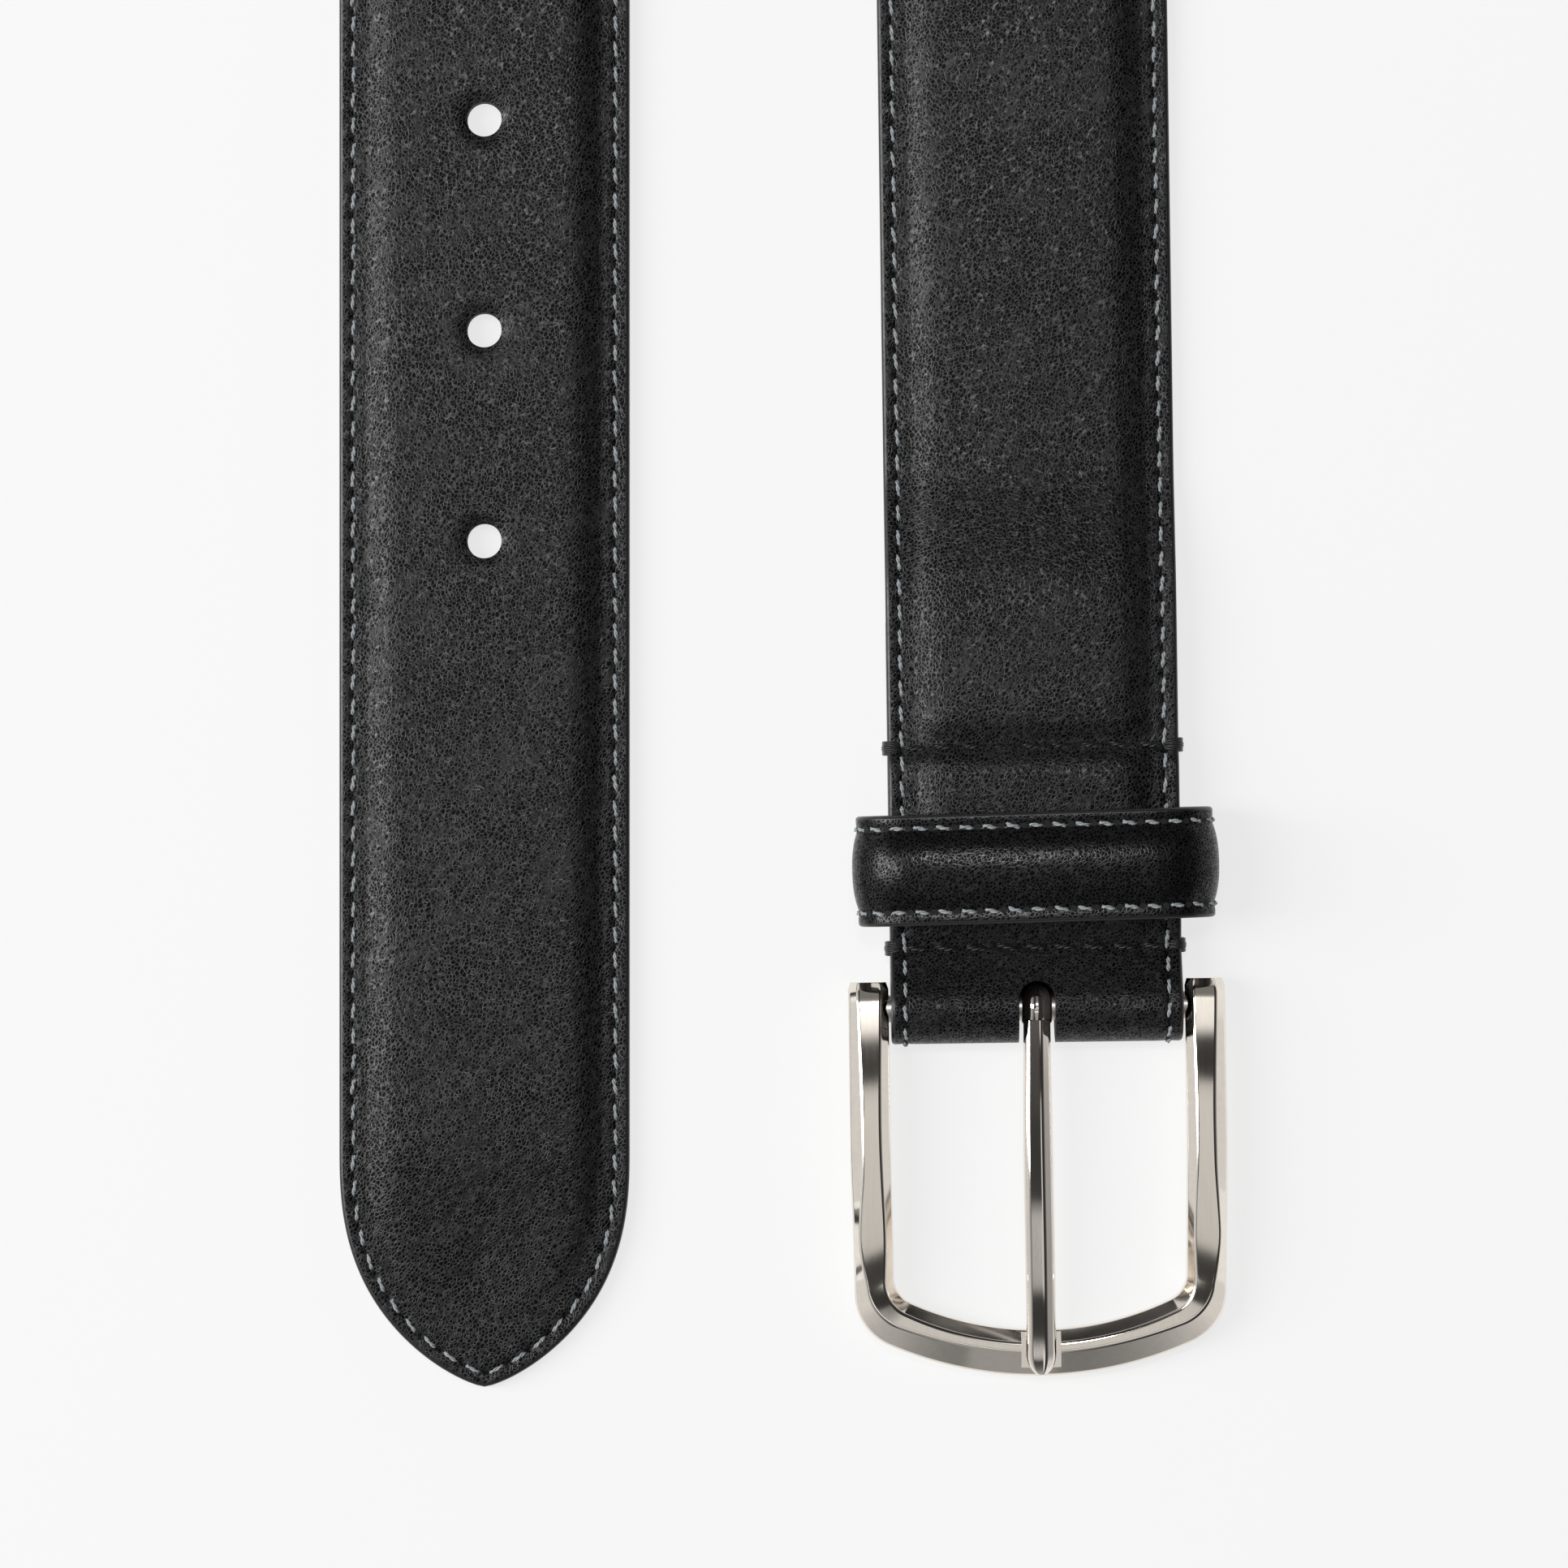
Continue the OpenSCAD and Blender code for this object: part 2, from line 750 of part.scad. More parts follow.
// The gap where the eye's end meets the blade opens into the bore by curl_bite
curl_gap = 0.5;
curl_bite = 0.3;
slot_play = 0.3;

// The hub is rounded off so that it stays clear of the slot's round end
function hub_radius(x) = slot_back - slot_w / 2 + sqrt(pow(slot_w / 2, 2) - x * x) - slot_play;
hub_r = hub_radius(0);
hub_steps = 8;
hub_line = [for (i = [0:hub_steps]) let (x = hub_w * (i / hub_steps - 0.5)) [hub_radius(x), x]];

// The blade: its thickness at the eye and at the nose, and each station's
// [distance in front of the bar, how much narrower it is]
blade_root_t = 2.3;
blade_tip_t = 1.9;
blade_steps = concat(
    [for (d = [1.9, 5, 10, 16, 22, 28, 34, 39]) [d, 0]],
    [[42.4, 0.12], [43.7, 0.4], [44.3, 0.75]]
);
// The eye end is a little narrower than the rest
root_narrow = 0.9;
root_len = 20;
// Half of its profile as [share of the half width, depth below the top], and its foot
blade_profile = [[0.45, 0], [0.85, 0.45], [1, 1.1]];
blade_foot = 0.9;

function blade_ring(step) =
    let (y = -step[0], narrow = mix(root_narrow, 1, smooth(step[0] / root_len)))
    let (w = prong_w / 2 * (1 - step[1]) * narrow, top = arch(blade_arch, y))
    let (low = top - mix(blade_root_t, blade_tip_t, smooth(step[0] / frame_front)))
    let (half = concat(
        [for (p = blade_profile) [-w * p[0], y, top - p[1]]], [[-w * blade_foot, y, low]]
    ))
    concat(half, [for (p = backwards(half)) [-p[0], p[1], p[2]]]);

module prong() {
    color(nickel)
        buckle_place()
            difference() {
                union() {
                    translate([0, 0, bar_z])
                        rotate([0, 90, 0])
                            rotate_extrude($fn = 64)
                                polygon(concat([[0, -hub_w / 2]], hub_line, [[0, hub_w / 2]]));
                    loft([for (step = blade_steps) blade_ring(step)]);
                }
                translate([-hub_w, 0, bar_z])
                    rotate([0, 90, 0])
                        cylinder(r = hub_bore_r, h = 2 * hub_w, $fn = 64);
                translate([-hub_w, -hub_r - 1, bar_z - hub_bore_r - curl_gap])
                    cube([2 * hub_w, hub_r + 1 - curl_bite, curl_gap + curl_bite]);
            }
}

tip_face();
loop_face();
fold_face();
wrap_face();
tail_face();
strap_filler();
tip_lining();
loop_lining();
fold_lining();
wrap_lining();
tail_lining();
needle_thread();
bobbin_thread();
near_cross_stitch();
far_cross_stitch();
keeper_face();
keeper_filler();
keeper_lining();
keeper_near_stitch();
keeper_far_stitch();
keeper_staple();
buckle_frame();
buckle_bar();
prong();
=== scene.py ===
"""Leather dress belt: the looks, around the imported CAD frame."""

import math

import bmesh
import bpy
import numpy as np
from mathutils import Matrix, Vector


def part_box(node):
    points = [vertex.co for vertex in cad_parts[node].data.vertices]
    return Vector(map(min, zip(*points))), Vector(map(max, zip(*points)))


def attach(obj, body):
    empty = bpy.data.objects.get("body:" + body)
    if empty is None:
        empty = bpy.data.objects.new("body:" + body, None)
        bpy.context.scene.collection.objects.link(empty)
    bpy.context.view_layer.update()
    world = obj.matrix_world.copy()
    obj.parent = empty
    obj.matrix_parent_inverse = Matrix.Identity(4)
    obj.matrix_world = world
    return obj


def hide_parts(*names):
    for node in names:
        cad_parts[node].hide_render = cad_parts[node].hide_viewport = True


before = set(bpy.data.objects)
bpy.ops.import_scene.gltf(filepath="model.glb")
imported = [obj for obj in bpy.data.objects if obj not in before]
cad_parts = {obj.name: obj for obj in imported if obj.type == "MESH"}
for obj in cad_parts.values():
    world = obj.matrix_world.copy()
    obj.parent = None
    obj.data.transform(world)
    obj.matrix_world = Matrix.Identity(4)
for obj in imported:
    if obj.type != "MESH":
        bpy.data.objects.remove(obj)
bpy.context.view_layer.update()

MM = 0.001
X, Y, Z = np.eye(3)


def mid(node):
    low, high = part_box(node)
    return (np.array(low) + np.array(high)) / 2 / MM


BAR = mid("buckle_bar")
BAR_R = 1.65

# ---- Strap sizes ----

HALF = 17.5          # half the strap's width
PAIR = 2.35          # lining and grain leather together
SPLIT = 1.18         # height of the line between them
PAD = 1.16           # how far the padding lifts the middle
PAD_FROM = 3.0       # where the padding starts, in from the edge
PAD_RUN = 3.5        # how wide its slope is
SEAM_IN = 1.7        # from the edge to the seam
STITCH = 3.05
TIP_LEN = 28.6
LEAN = math.radians(0.79)     # the tip's leg against the buckle's
TIP_AHEAD = 45       # how far the tip lies in front of the bar
LEG_GAP = 66.5       # between the middles of the two legs
FLAT_LEN = 177       # from the bar to where the strap starts to turn onto its edge
TWIST_LEN = 140
BOW_R = 120
BOW_A = math.radians(25)
TAIL_LEN = 46.5
HOLE_PITCH = 25.4
HOLES = [102 + HOLE_PITCH * i for i in range(5)]
STRAP_LEN = 950 + HOLE_PITCH * 2 + HOLES[0]
HOLE_R = 2.1
SLOT_W = 4.4
SLOT_BACK = 3.2      # the slot's end behind the bar
SLOT_BACK_LOW = 2.35     # its end in the turned-back layer

lean_dir = np.array([math.sin(LEAN), math.cos(LEAN), 0])
lean_side = np.array([math.cos(LEAN), -math.sin(LEAN), 0])
apex = np.array([BAR[0] - LEG_GAP - TIP_AHEAD * math.tan(LEAN), BAR[1] - TIP_AHEAD, 0])


def smooth(t):
    t = np.clip(t, 0, 1)
    return t * t * (3 - 2 * t)


def mix(a, b, t):
    return a + (b - a) * t


def unit(v):
    return v / np.maximum(np.linalg.norm(v, axis=-1, keepdims=True), 1e-12)


def wobble(a, seed, sizes):
    """Smooth repeatable unevenness from -1 to 1 along a."""
    rng = np.random.default_rng(seed)
    total = sum(np.sin(a * 2 * math.pi / size + rng.uniform(0, 6.28)) for size in sizes)
    return total / len(sizes)


# ---- The strap's path: both edges, the middle, the way up and the padding ----


def tip_half(d):
    return HALF * (1 - np.maximum(0, 1 - d / TIP_LEN) ** 2.6) ** 0.74


path = []


def add(low_edge, high_edge, centre, up, pad):
    path.append((low_edge, high_edge, centre, up, pad))


def add_frame(p, side, up, pad):
    add(p - side * HALF, p + side * HALF, p, up, pad)


for d in TIP_LEN * np.linspace(0, 1, 300) ** 1.6:
    r = tip_half(d)
    slope = (tip_half(d + 0.01) - r) / 0.01
    reach = max(d + r * slope, 9 + 0.3 * d)
    edge = apex + lean_dir * d
    add(edge - lean_side * r, edge + lean_side * r, apex + lean_dir * reach, Z, 1.0)

leg_flat = FLAT_LEN + TIP_AHEAD     # from the tip to where its leg starts to turn


def edge_frame(p, flat_side, a, pad=1.0):
    add_frame(p + Z * HALF * math.sin(a), flat_side * math.cos(a) + Z * math.sin(a),
              Z * math.cos(a) - flat_side * math.sin(a), pad)


for d in np.arange(TIP_LEN + 0.25, leg_flat, 0.25):
    edge_frame(apex + lean_dir * d, lean_side, 0)
for t in np.linspace(0, 1, 500):
    edge_frame(apex + lean_dir * (leg_flat + TWIST_LEN * t), lean_side, math.pi / 2 * smooth(t))

start_a = math.pi / 2 - LEAN
wide_a = start_a + BOW_A
sweep_a = wide_a + math.pi / 2 + BOW_A
span = math.cos(BOW_A) + math.sin(wide_a)
bow_x = BOW_R * (1 - math.cos(BOW_A)) - BOW_R * (math.sin(wide_a) - math.sin(start_a))
bow_y = BOW_R * (math.cos(start_a) - math.cos(wide_a)) - BOW_R * math.sin(BOW_A)
per_r = (sweep_a - math.sin(BOW_A) - math.cos(wide_a)) / span
run = 1 / math.cos(LEAN) - per_r * math.tan(LEAN)
loop_y = (STRAP_LEN + BAR[1] - bow_y - 2 * BOW_R * BOW_A - per_r * (BAR[0] - apex[0] + bow_x)
          + apex[1] * run) / (1 + run)
loop_x = apex[0] + (loop_y - apex[1]) * math.tan(LEAN)
loop_r = (BAR[0] - loop_x + bow_x) / span


def standing(p, heading):
    add_frame(p + Z * HALF, Z, np.array([-math.sin(heading), math.cos(heading), 0]), 1.0)


def arc(p, r, a, b):
    if b > 0:
        return p + r * np.array([math.sin(a + b) - math.sin(a), math.cos(a) - math.cos(a + b), 0])
    return p + r * np.array([math.sin(a) - math.sin(a + b), math.cos(a + b) - math.cos(a), 0])


loop_start = np.array([loop_x, loop_y, 0])
leg_end = apex + lean_dir * (leg_flat + TWIST_LEN)
for t in np.linspace(0.005, 0.995, 200):
    standing(mix(leg_end, loop_start, t), start_a)
for b in np.linspace(0, BOW_A, 200):
    standing(arc(loop_start, BOW_R, start_a, b), start_a + b)
bow_end = arc(loop_start, BOW_R, start_a, BOW_A)
for b in np.linspace(0.01, sweep_a, 700):
    standing(arc(bow_end, loop_r, wide_a, -b), wide_a - b)
turn_end = arc(bow_end, loop_r, wide_a, -sweep_a)
for b in np.linspace(0.002, BOW_A, 200):
    standing(arc(turn_end, BOW_R, -math.pi / 2 - BOW_A, b), -math.pi / 2 - BOW_A + b)
loop_end = arc(turn_end, BOW_R, -math.pi / 2 - BOW_A, BOW_A)
turn_start = np.array([BAR[0], BAR[1] + FLAT_LEN + TWIST_LEN, 0])
for t in np.linspace(0.005, 0.995, 200):
    standing(mix(loop_end, turn_start, t), -math.pi / 2)
for t in np.linspace(1, 0, 500):
    edge_frame(np.array([BAR[0], BAR[1] + FLAT_LEN + TWIST_LEN * t, 0]), -X, math.pi / 2 * smooth(t))

# The buckle end: [distance from the bar, height of the underside, padding]
NEAR_SEAM = 7.2
FAR_SEAM = 31.3
KEEPER_AT = 10.3
KEEPER_W = 13.2
WRAP_R = BAR_R + 0.3
rest_z = PAIR + 0.25
keeper_z = PAIR + 1.2
near_z = PAIR + 0.4
keeper_end = KEEPER_AT + KEEPER_W
hump = np.array([
    [FLAT_LEN - 0.3, 0, 1], [120, 0, 1], [66, 0, 1], [63, 0.2, 1],
    [TAIL_LEN + 5, rest_z - 0.25, 1], [TAIL_LEN + 1.5, rest_z, 1], [FAR_SEAM + 2.6, rest_z, 1],
    [FAR_SEAM + 0.7, rest_z, 0.3], [FAR_SEAM - 0.7, rest_z, 0.3], [keeper_end + 5.7, keeper_z, 0.85],
    [keeper_end, keeper_z, 0.8], [KEEPER_AT + 2, keeper_z, 0.45], [KEEPER_AT - 0.8, keeper_z, 0.1],
    [NEAR_SEAM + 0.5, near_z, 0], [NEAR_SEAM - 0.5, near_z, 0],
])
last = hump[-1]
gap = math.hypot(last[0], last[1] - BAR[2])
touch = math.atan2(last[1] - BAR[2], last[0]) + math.acos(WRAP_R / gap)
touch_at = np.array([WRAP_R * math.cos(touch), BAR[2] + WRAP_R * math.sin(touch)])

line = []
knots = np.concatenate([[0], np.cumsum(np.hypot(*np.diff(hump[:, :2], axis=0).T))])
along = np.arange(0, knots[-1], 0.1)
hump_line = np.stack([np.interp(along, knots, hump[:, i]) for i in range(3)], 1)
kernel = np.exp(-0.5 * (np.arange(-24, 25) / 8) ** 2)
kernel /= kernel.sum()
padded = np.pad(hump_line, ((24, 24), (0, 0)), mode="edge")
soft_line = np.stack([np.convolve(padded[:, i], kernel, "valid") for i in range(3)], 1)
ease = smooth(np.minimum(along, along[-1] - along) / 3)[:, None]
line.append(mix(hump_line, soft_line, ease))
for t in np.linspace(0.02, 0.98, 40):
    line.append(np.array([[*mix(last[:2], touch_at, t), 0]]))
for a in np.linspace(touch, 1.5 * math.pi, 150):
    line.append(np.array([[WRAP_R * math.cos(a), BAR[2] + WRAP_R * math.sin(a), 0]]))
for t in np.linspace(0.004, 1, 250):
    line.append(np.array([[TAIL_LEN * t, BAR[2] - WRAP_R, 0]]))
line = np.concatenate(line)
keep = np.concatenate([[True], np.hypot(*np.diff(line[:, :2], axis=0).T) > 1e-4])
line = line[keep]
way = unit(np.gradient(line[:, :2], axis=0))
for p, w in zip(line, way):
    add_frame(np.array([BAR[0], BAR[1] + p[0], p[1]]), -X, np.array([0, w[1], -w[0]]), p[2])

low_edge, high_edge, centre, up = (np.array([row[i] for row in path], float) for i in range(4))
pads = np.array([row[4] for row in path])
up = unit(up)


def inset(edge, middle, e):
    """Points e inside an edge, on the way to the middle."""
    return edge + unit(middle - edge) * e


# Stations a quarter of a stitch apart, so that every fourth is a needle hole
seam_low = inset(low_edge, centre, SEAM_IN) + up * PAIR
seam_high = inset(high_edge, centre, SEAM_IN) + up * PAIR
steps = (np.linalg.norm(np.diff(seam_low, axis=0), axis=1)
         + np.linalg.norm(np.diff(seam_high, axis=0), axis=1)) / 2
length = np.concatenate([[0], np.cumsum(steps)])
stitches = int(round(length[-1] / STITCH))
station_at = np.linspace(0, length[-1], stitches * 4 + 1)


def at_stations(a):
    if a.ndim == 1:
        return np.interp(station_at, length, a)
    return np.stack([np.interp(station_at, length, a[:, i]) for i in range(a.shape[1])], 1)


low_edge, high_edge, centre = at_stations(low_edge), at_stations(high_edge), at_stations(centre)
up, pads = unit(at_stations(up)), at_stations(pads)
count = len(station_at)
index = np.arange(count)
on_hole = index % 4 == 0
reach = np.linalg.norm(centre - low_edge, axis=1)
is_tail = up[:, 2] < -0.5
from_tip = (centre - apex) @ lean_dir

# ---- Meshes ----


def made(name, points, faces, materials, face_material=None, painted_shade=None, sharp=38):
    """A mesh object from points in millimetres, with shading split at sharp angles."""
    mesh = bpy.data.meshes.new(name)
    mesh.from_pydata(points.tolist() if hasattr(points, "tolist") else points, [], faces)
    for m in materials:
        mesh.materials.append(m)
    if face_material is not None:
        mesh.polygons.foreach_set("material_index", np.asarray(face_material, np.int32))
    # Per-point painted shade for seam grooves and needle holes
    if painted_shade is not None:
        mesh.attributes.new("painted_shade", "FLOAT", "POINT").data.foreach_set(
            "value", np.asarray(painted_shade, np.float32))
    mesh.validate()
    obj = bpy.data.objects.new(name, mesh)
    bpy.context.scene.collection.objects.link(obj)
    obj["sharp"] = sharp
    return obj


def finish(obj, body, replaces=()):
    """Scales a piece to metres, shades it, and ties it to its body and to what it stands for."""
    mesh = obj.data
    mesh.transform(Matrix.Scale(MM, 4))
    mesh.shade_smooth()
    mesh.set_sharp_from_angle(angle=math.radians(obj["sharp"]))
    del obj["sharp"]
    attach(obj, body)
    if replaces:
        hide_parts(*replaces)
    return obj


def boolean(obj, other, operation):
    m = obj.modifiers.new("b", "BOOLEAN")
    m.operation, m.object, m.solver = operation, other, "MANIFOLD"
    graph = bpy.context.evaluated_depsgraph_get()
    mesh = bpy.data.meshes.new_from_object(obj.evaluated_get(graph))
    obj.modifiers.clear()
    obj.data = mesh
    bpy.data.objects.remove(other)
    return obj


def merge_close(obj, distance):
    bm = bmesh.new()
    bm.from_mesh(obj.data)
    bmesh.ops.remove_doubles(bm, verts=bm.verts, dist=distance)
    bmesh.ops.dissolve_degenerate(bm, edges=bm.edges, dist=distance / 10)
    bmesh.ops.recalc_face_normals(bm, faces=bm.faces)
    bm.to_mesh(obj.data)
    bm.free()
    return obj


def loft_faces(rows, columns, cap_start, cap_end, closed=False):
    """Faces of rings of points, and the column each one starts at."""
    a = np.arange(rows if closed else rows - 1)[:, None]
    j = np.arange(columns)[None, :]
    nxt, nj = (a + 1) % rows, (j + 1) % columns
    quads = np.stack(np.broadcast_arrays(a * columns + j, a * columns + nj,
                                         nxt * columns + nj, nxt * columns + j), -1).reshape(-1, 4)
    col = np.broadcast_to(j, (len(a), columns)).ravel()
    faces = quads.tolist()
    if cap_start:
        faces.append(list(range(columns))[::-1])
    if cap_end:
        faces.append([(rows - 1) * columns + i for i in range(columns)])
    return faces, col


# ---- Materials ----


class Tree:
    """Short names for building a node tree."""

    def __init__(self, tree):
        self.tree = tree

    def node(self, kind, inputs=(), **settings):
        n = self.tree.nodes.new("ShaderNode" + kind)
        for k, v in settings.items():
            setattr(n, k, v)
        for k, v in dict(inputs).items():
            self.put(n.inputs[k], v)
        return n

    def put(self, socket, value):
        if isinstance(value, bpy.types.NodeSocket):
            self.tree.links.new(value, socket)
        else:
            socket.default_value = value

    def math(self, operation, a, b=0.0, clamp=False):
        n = self.node("Math", operation=operation, use_clamp=clamp)
        self.put(n.inputs[0], a)
        self.put(n.inputs[1], b)
        return n.outputs[0]

    def place(self, scale=(1, 1, 1)):
        coords = self.node("TexCoord").outputs["Object"]
        return self.node("Mapping", {"Vector": coords, "Scale": scale}).outputs["Vector"]

    def drawn_out(self, stretch):
        """Places whose pattern is stretched along the leather's grain."""
        coords = self.node("TexCoord").outputs["Object"]
        turned = {"Vector": coords, "Rotation": (0, 0, GRAIN_TURN), "Scale": (stretch, 1, 1)}
        return self.node("Mapping", turned, vector_type="TEXTURE").outputs["Vector"]

    def noise(self, where, scale, detail=3.0, rough=0.55, distortion=0.0):
        return self.node("TexNoise", {"Vector": where, "Scale": scale, "Detail": detail,
                                      "Roughness": rough, "Distortion": distortion}).outputs["Fac"]

    def span(self, value, low, high, to_low, to_high):
        return self.node("MapRange", {"Value": value, "From Min": low, "From Max": high,
                                      "To Min": to_low, "To Max": to_high}).outputs["Result"]

    def blend(self, factor, a, b):
        n = self.node("Mix", data_type="RGBA")
        self.put(n.inputs[0], factor)
        self.put(n.inputs[6], (*a, 1) if isinstance(a, tuple) else a)
        self.put(n.inputs[7], (*b, 1) if isinstance(b, tuple) else b)
        return n.outputs[2]

    def bump(self, height, distance):
        return self.node("Bump", {"Height": height, "Distance": distance, "Strength": 1.0}).outputs["Normal"]


class Surface(Tree):
    """A material's node tree, with its shader."""

    def __init__(self, name):
        self.material = bpy.data.materials.new(name)
        self.material.use_nodes = True
        super().__init__(self.material.node_tree)
        self.shader = self.tree.nodes["Principled BSDF"]

    def set(self, **values):
        for k, v in values.items():
            self.put(self.shader.inputs[k.replace("_", " ")], v)


GRAIN_TURN = math.radians(52)     # the way the leather's grain runs


def grain_leather(name, valley, ridge, rough, depth, cell, crease=0.0):
    """Fine net of pale ridges round dark cells, drawn out along a diagonal, with soft creases; the grain and
    creases are real, their pale ridges and crease lines are painted highlight and the dark cells painted
    shade.
    """
    t = Surface(name)
    where = t.place()
    slanted = t.drawn_out(1.45)
    warp = t.node("TexNoise", {"Vector": slanted, "Scale": 900.0, "Detail": 2.0}).outputs["Color"]
    bent = t.node("MixRGB", {"Fac": 0.00025, "Color1": slanted, "Color2": warp}, blend_type="ADD")
    gaps = t.node("TexVoronoi", {"Vector": bent.outputs["Color"], "Scale": 1000 / cell, "Randomness": 1.0},
                  feature="DISTANCE_TO_EDGE").outputs["Distance"]
    net = t.span(gaps, 0.015, 0.19, 1.0, 0.0)
    swell = t.span(t.noise(slanted, 1500.0, 1.0), 0.36, 0.64, 0.5, 1.0)
    net = t.math("MULTIPLY", net, swell)
    if crease:
        long_noise = t.noise(t.drawn_out(7), 1000.0, 3.0, 0.6, 0.3)
        lines = t.math("ABSOLUTE", t.math("SUBTRACT", long_noise, 0.5))
        lines = t.math("MULTIPLY", t.span(lines, 0.0, 0.06, 1.0, 0.0),
                       t.span(t.noise(where, 110.0, 2.0), 0.4, 0.65, 0.0, crease))
        net = t.math("MAXIMUM", net, lines)
    large = t.noise(where, 70.0, 3.0)
    # Painted shade in needle holes and seam grooves: the colour darkens towards near-black
    painted_shade = t.node("Attribute", attribute_name="painted_shade").outputs["Fac"]
    # Pale ridges over dark cells: painted highlight on the grain's ridges and painted shade in its cells
    tone = t.blend(net, valley, ridge)
    tone = t.blend(t.span(large, 0.35, 0.7, 0.12, 0.0), tone, valley)
    tone = t.blend(painted_shade, tone, (0.0015, 0.0015, 0.0015))
    patchy = t.span(large, 0.3, 0.7, rough, rough + 0.05)
    t.set(Base_Color=tone, Normal=t.bump(net, depth),
          Roughness=t.math("ADD", patchy, t.span(net, 0.0, 1.0, 0.12, 0.0)),
          Specular_IOR_Level=t.span(net, 0.0, 0.8, 0.05, 0.42))
    return t.material


def plain_leather(name, base, light, rough, depth, scale):
    t = Surface(name)
    where = t.place()
    fibre = t.noise(where, scale, 4.0, 0.65)
    patch = t.noise(where, 120.0, 2.0)
    # Painted shade in needle holes and seam grooves: the colour darkens towards near-black
    painted_shade = t.node("Attribute", attribute_name="painted_shade").outputs["Fac"]
    tone = t.blend(t.span(patch, 0.35, 0.7, 0.0, 1.0), base, light)
    tone = t.blend(painted_shade, tone, (0.002, 0.002, 0.002))
    t.set(Base_Color=tone, Roughness=t.span(fibre, 0.3, 0.7, rough - 0.06, rough + 0.08),
          Normal=t.bump(fibre, depth))
    return t.material


def thread(name, base, light, rough, sheen):
    t = Surface(name)
    where = t.place()
    fibre = t.noise(where, 9000.0, 3.0, 0.6)
    t.set(Base_Color=t.blend(t.span(fibre, 0.35, 0.7, 0.0, 1.0), base, light), Roughness=rough,
          Normal=t.bump(fibre, 0.00004), Sheen_Weight=sheen, Sheen_Roughness=0.5)
    return t.material


def metal(name, base, rough, streak, along, grain):
    """Metal with fine lines, drawn out where along is small, as bumps and as roughness."""
    t = Surface(name)
    where = t.place(along)
    lines = t.noise(where, 1.0, 5.0, 0.7)
    smudge = t.noise(t.place(), 160.0, 2.0)
    t.set(Base_Color=t.blend(t.span(lines, 0.3, 0.7, 0.0, 1.0), tuple(c * 0.93 for c in base), base),
          Metallic=1.0, Roughness=t.math("ADD", t.span(smudge, 0.3, 0.7, rough * 0.85, rough * 1.15),
                                         t.math("MULTIPLY", lines, grain)))
    t.set(Normal=t.bump(lines, streak))
    return t.material


STRAP_GRAIN = grain_leather("grain_leather", (0.0015, 0.0015, 0.0018), (0.031, 0.0305, 0.0325),
                            rough=0.24, depth=0.00002, cell=0.37, crease=0.45)
KEEPER_GRAIN = grain_leather("keeper_leather", (0.0015, 0.0015, 0.0018), (0.013, 0.0128, 0.0136),
                             rough=0.17, depth=0.000007, cell=0.36)
EDGE_PAINT = plain_leather("edge_paint", (0.006, 0.006, 0.006), (0.010, 0.0095, 0.009),
                           rough=0.34, depth=0.00003, scale=1500.0)
LINING = plain_leather("lining_leather", (0.020, 0.0185, 0.018), (0.028, 0.026, 0.025),
                       rough=0.55, depth=0.00005, scale=2200.0)
RAW_EDGE = plain_leather("punched_edge", (0.014, 0.013, 0.0125), (0.03, 0.026, 0.023),
                         rough=0.75, depth=0.00009, scale=3500.0)
# Near-black sleeves for needle holes: painted shade inside the holes
HOLE_SHADE = plain_leather("needle_hole_shade", (0.002, 0.002, 0.002), (0.003, 0.003, 0.003),
                    rough=0.8, depth=0.00002, scale=2000.0)
PALE_THREAD = thread("seam_thread", (0.16, 0.18, 0.19), (0.46, 0.50, 0.52), rough=0.6, sheen=0.1)
BLACK_THREAD = thread("black_thread", (0.003, 0.003, 0.0033), (0.008, 0.008, 0.009), rough=0.42, sheen=0.0)
BRUSHED = metal("brushed_nickel", (0.86, 0.79, 0.705),
                rough=0.055, streak=0.0000011, along=(2600, 60, 2600), grain=0.02)
POLISHED = metal("polished_nickel", (0.86, 0.80, 0.725),
                 rough=0.07, streak=0.000001, along=(900, 900, 900), grain=0.01)
MIRROR = metal("prong_nickel", (0.86, 0.80, 0.735),
               rough=0.05, streak=0.000001, along=(700, 260, 700), grain=0.01)
STEEL = metal("bar_steel", (0.6, 0.585, 0.56),
              rough=0.3, streak=0.000006, along=(60, 2200, 2200), grain=0.1)

# ---- Strap ----

near_edge = np.array([0.0, 0.06, 0.17, 0.30, 0.45, 0.8, 1.25, 1.7, 2.15, 2.7, 3.2, 3.7, 4.2, 4.7, 5.4])
to_middle = np.array([10.4, 8.8, 7, 5.4, 4.3, 3.4, 2.6, 1.8, 0.9])
INNER = HALF - near_edge[-1]     # from the last near column to the middle
ROUND = 0.45         # rounding of the top edge
# The leather dips steeply at a hole's rim, and gently round it: drops and reaches
RIM_DROP = 0.55
RIM_FROM = 1.6
RIM_RUN = 1.15
DISH_DROP = 0.12
DISH_RUN = 6.0


def half_insets():
    """Insets of the top's columns from the edge to just short of the middle, for every station."""
    near = np.repeat(near_edge[None], count, 0)
    rest = near_edge[-1] + (reach - near_edge[-1])[:, None] * ((INNER - to_middle) / INNER)[None]
    return np.concatenate([near, rest], 1)


def crown(e):
    return 0.12 * smooth((e - 6) / 9)


tip_fade = smooth((from_tip - 13) / 17)
lengthwise = wobble(station_at, 3, [31, 47, 83]) * 0.05


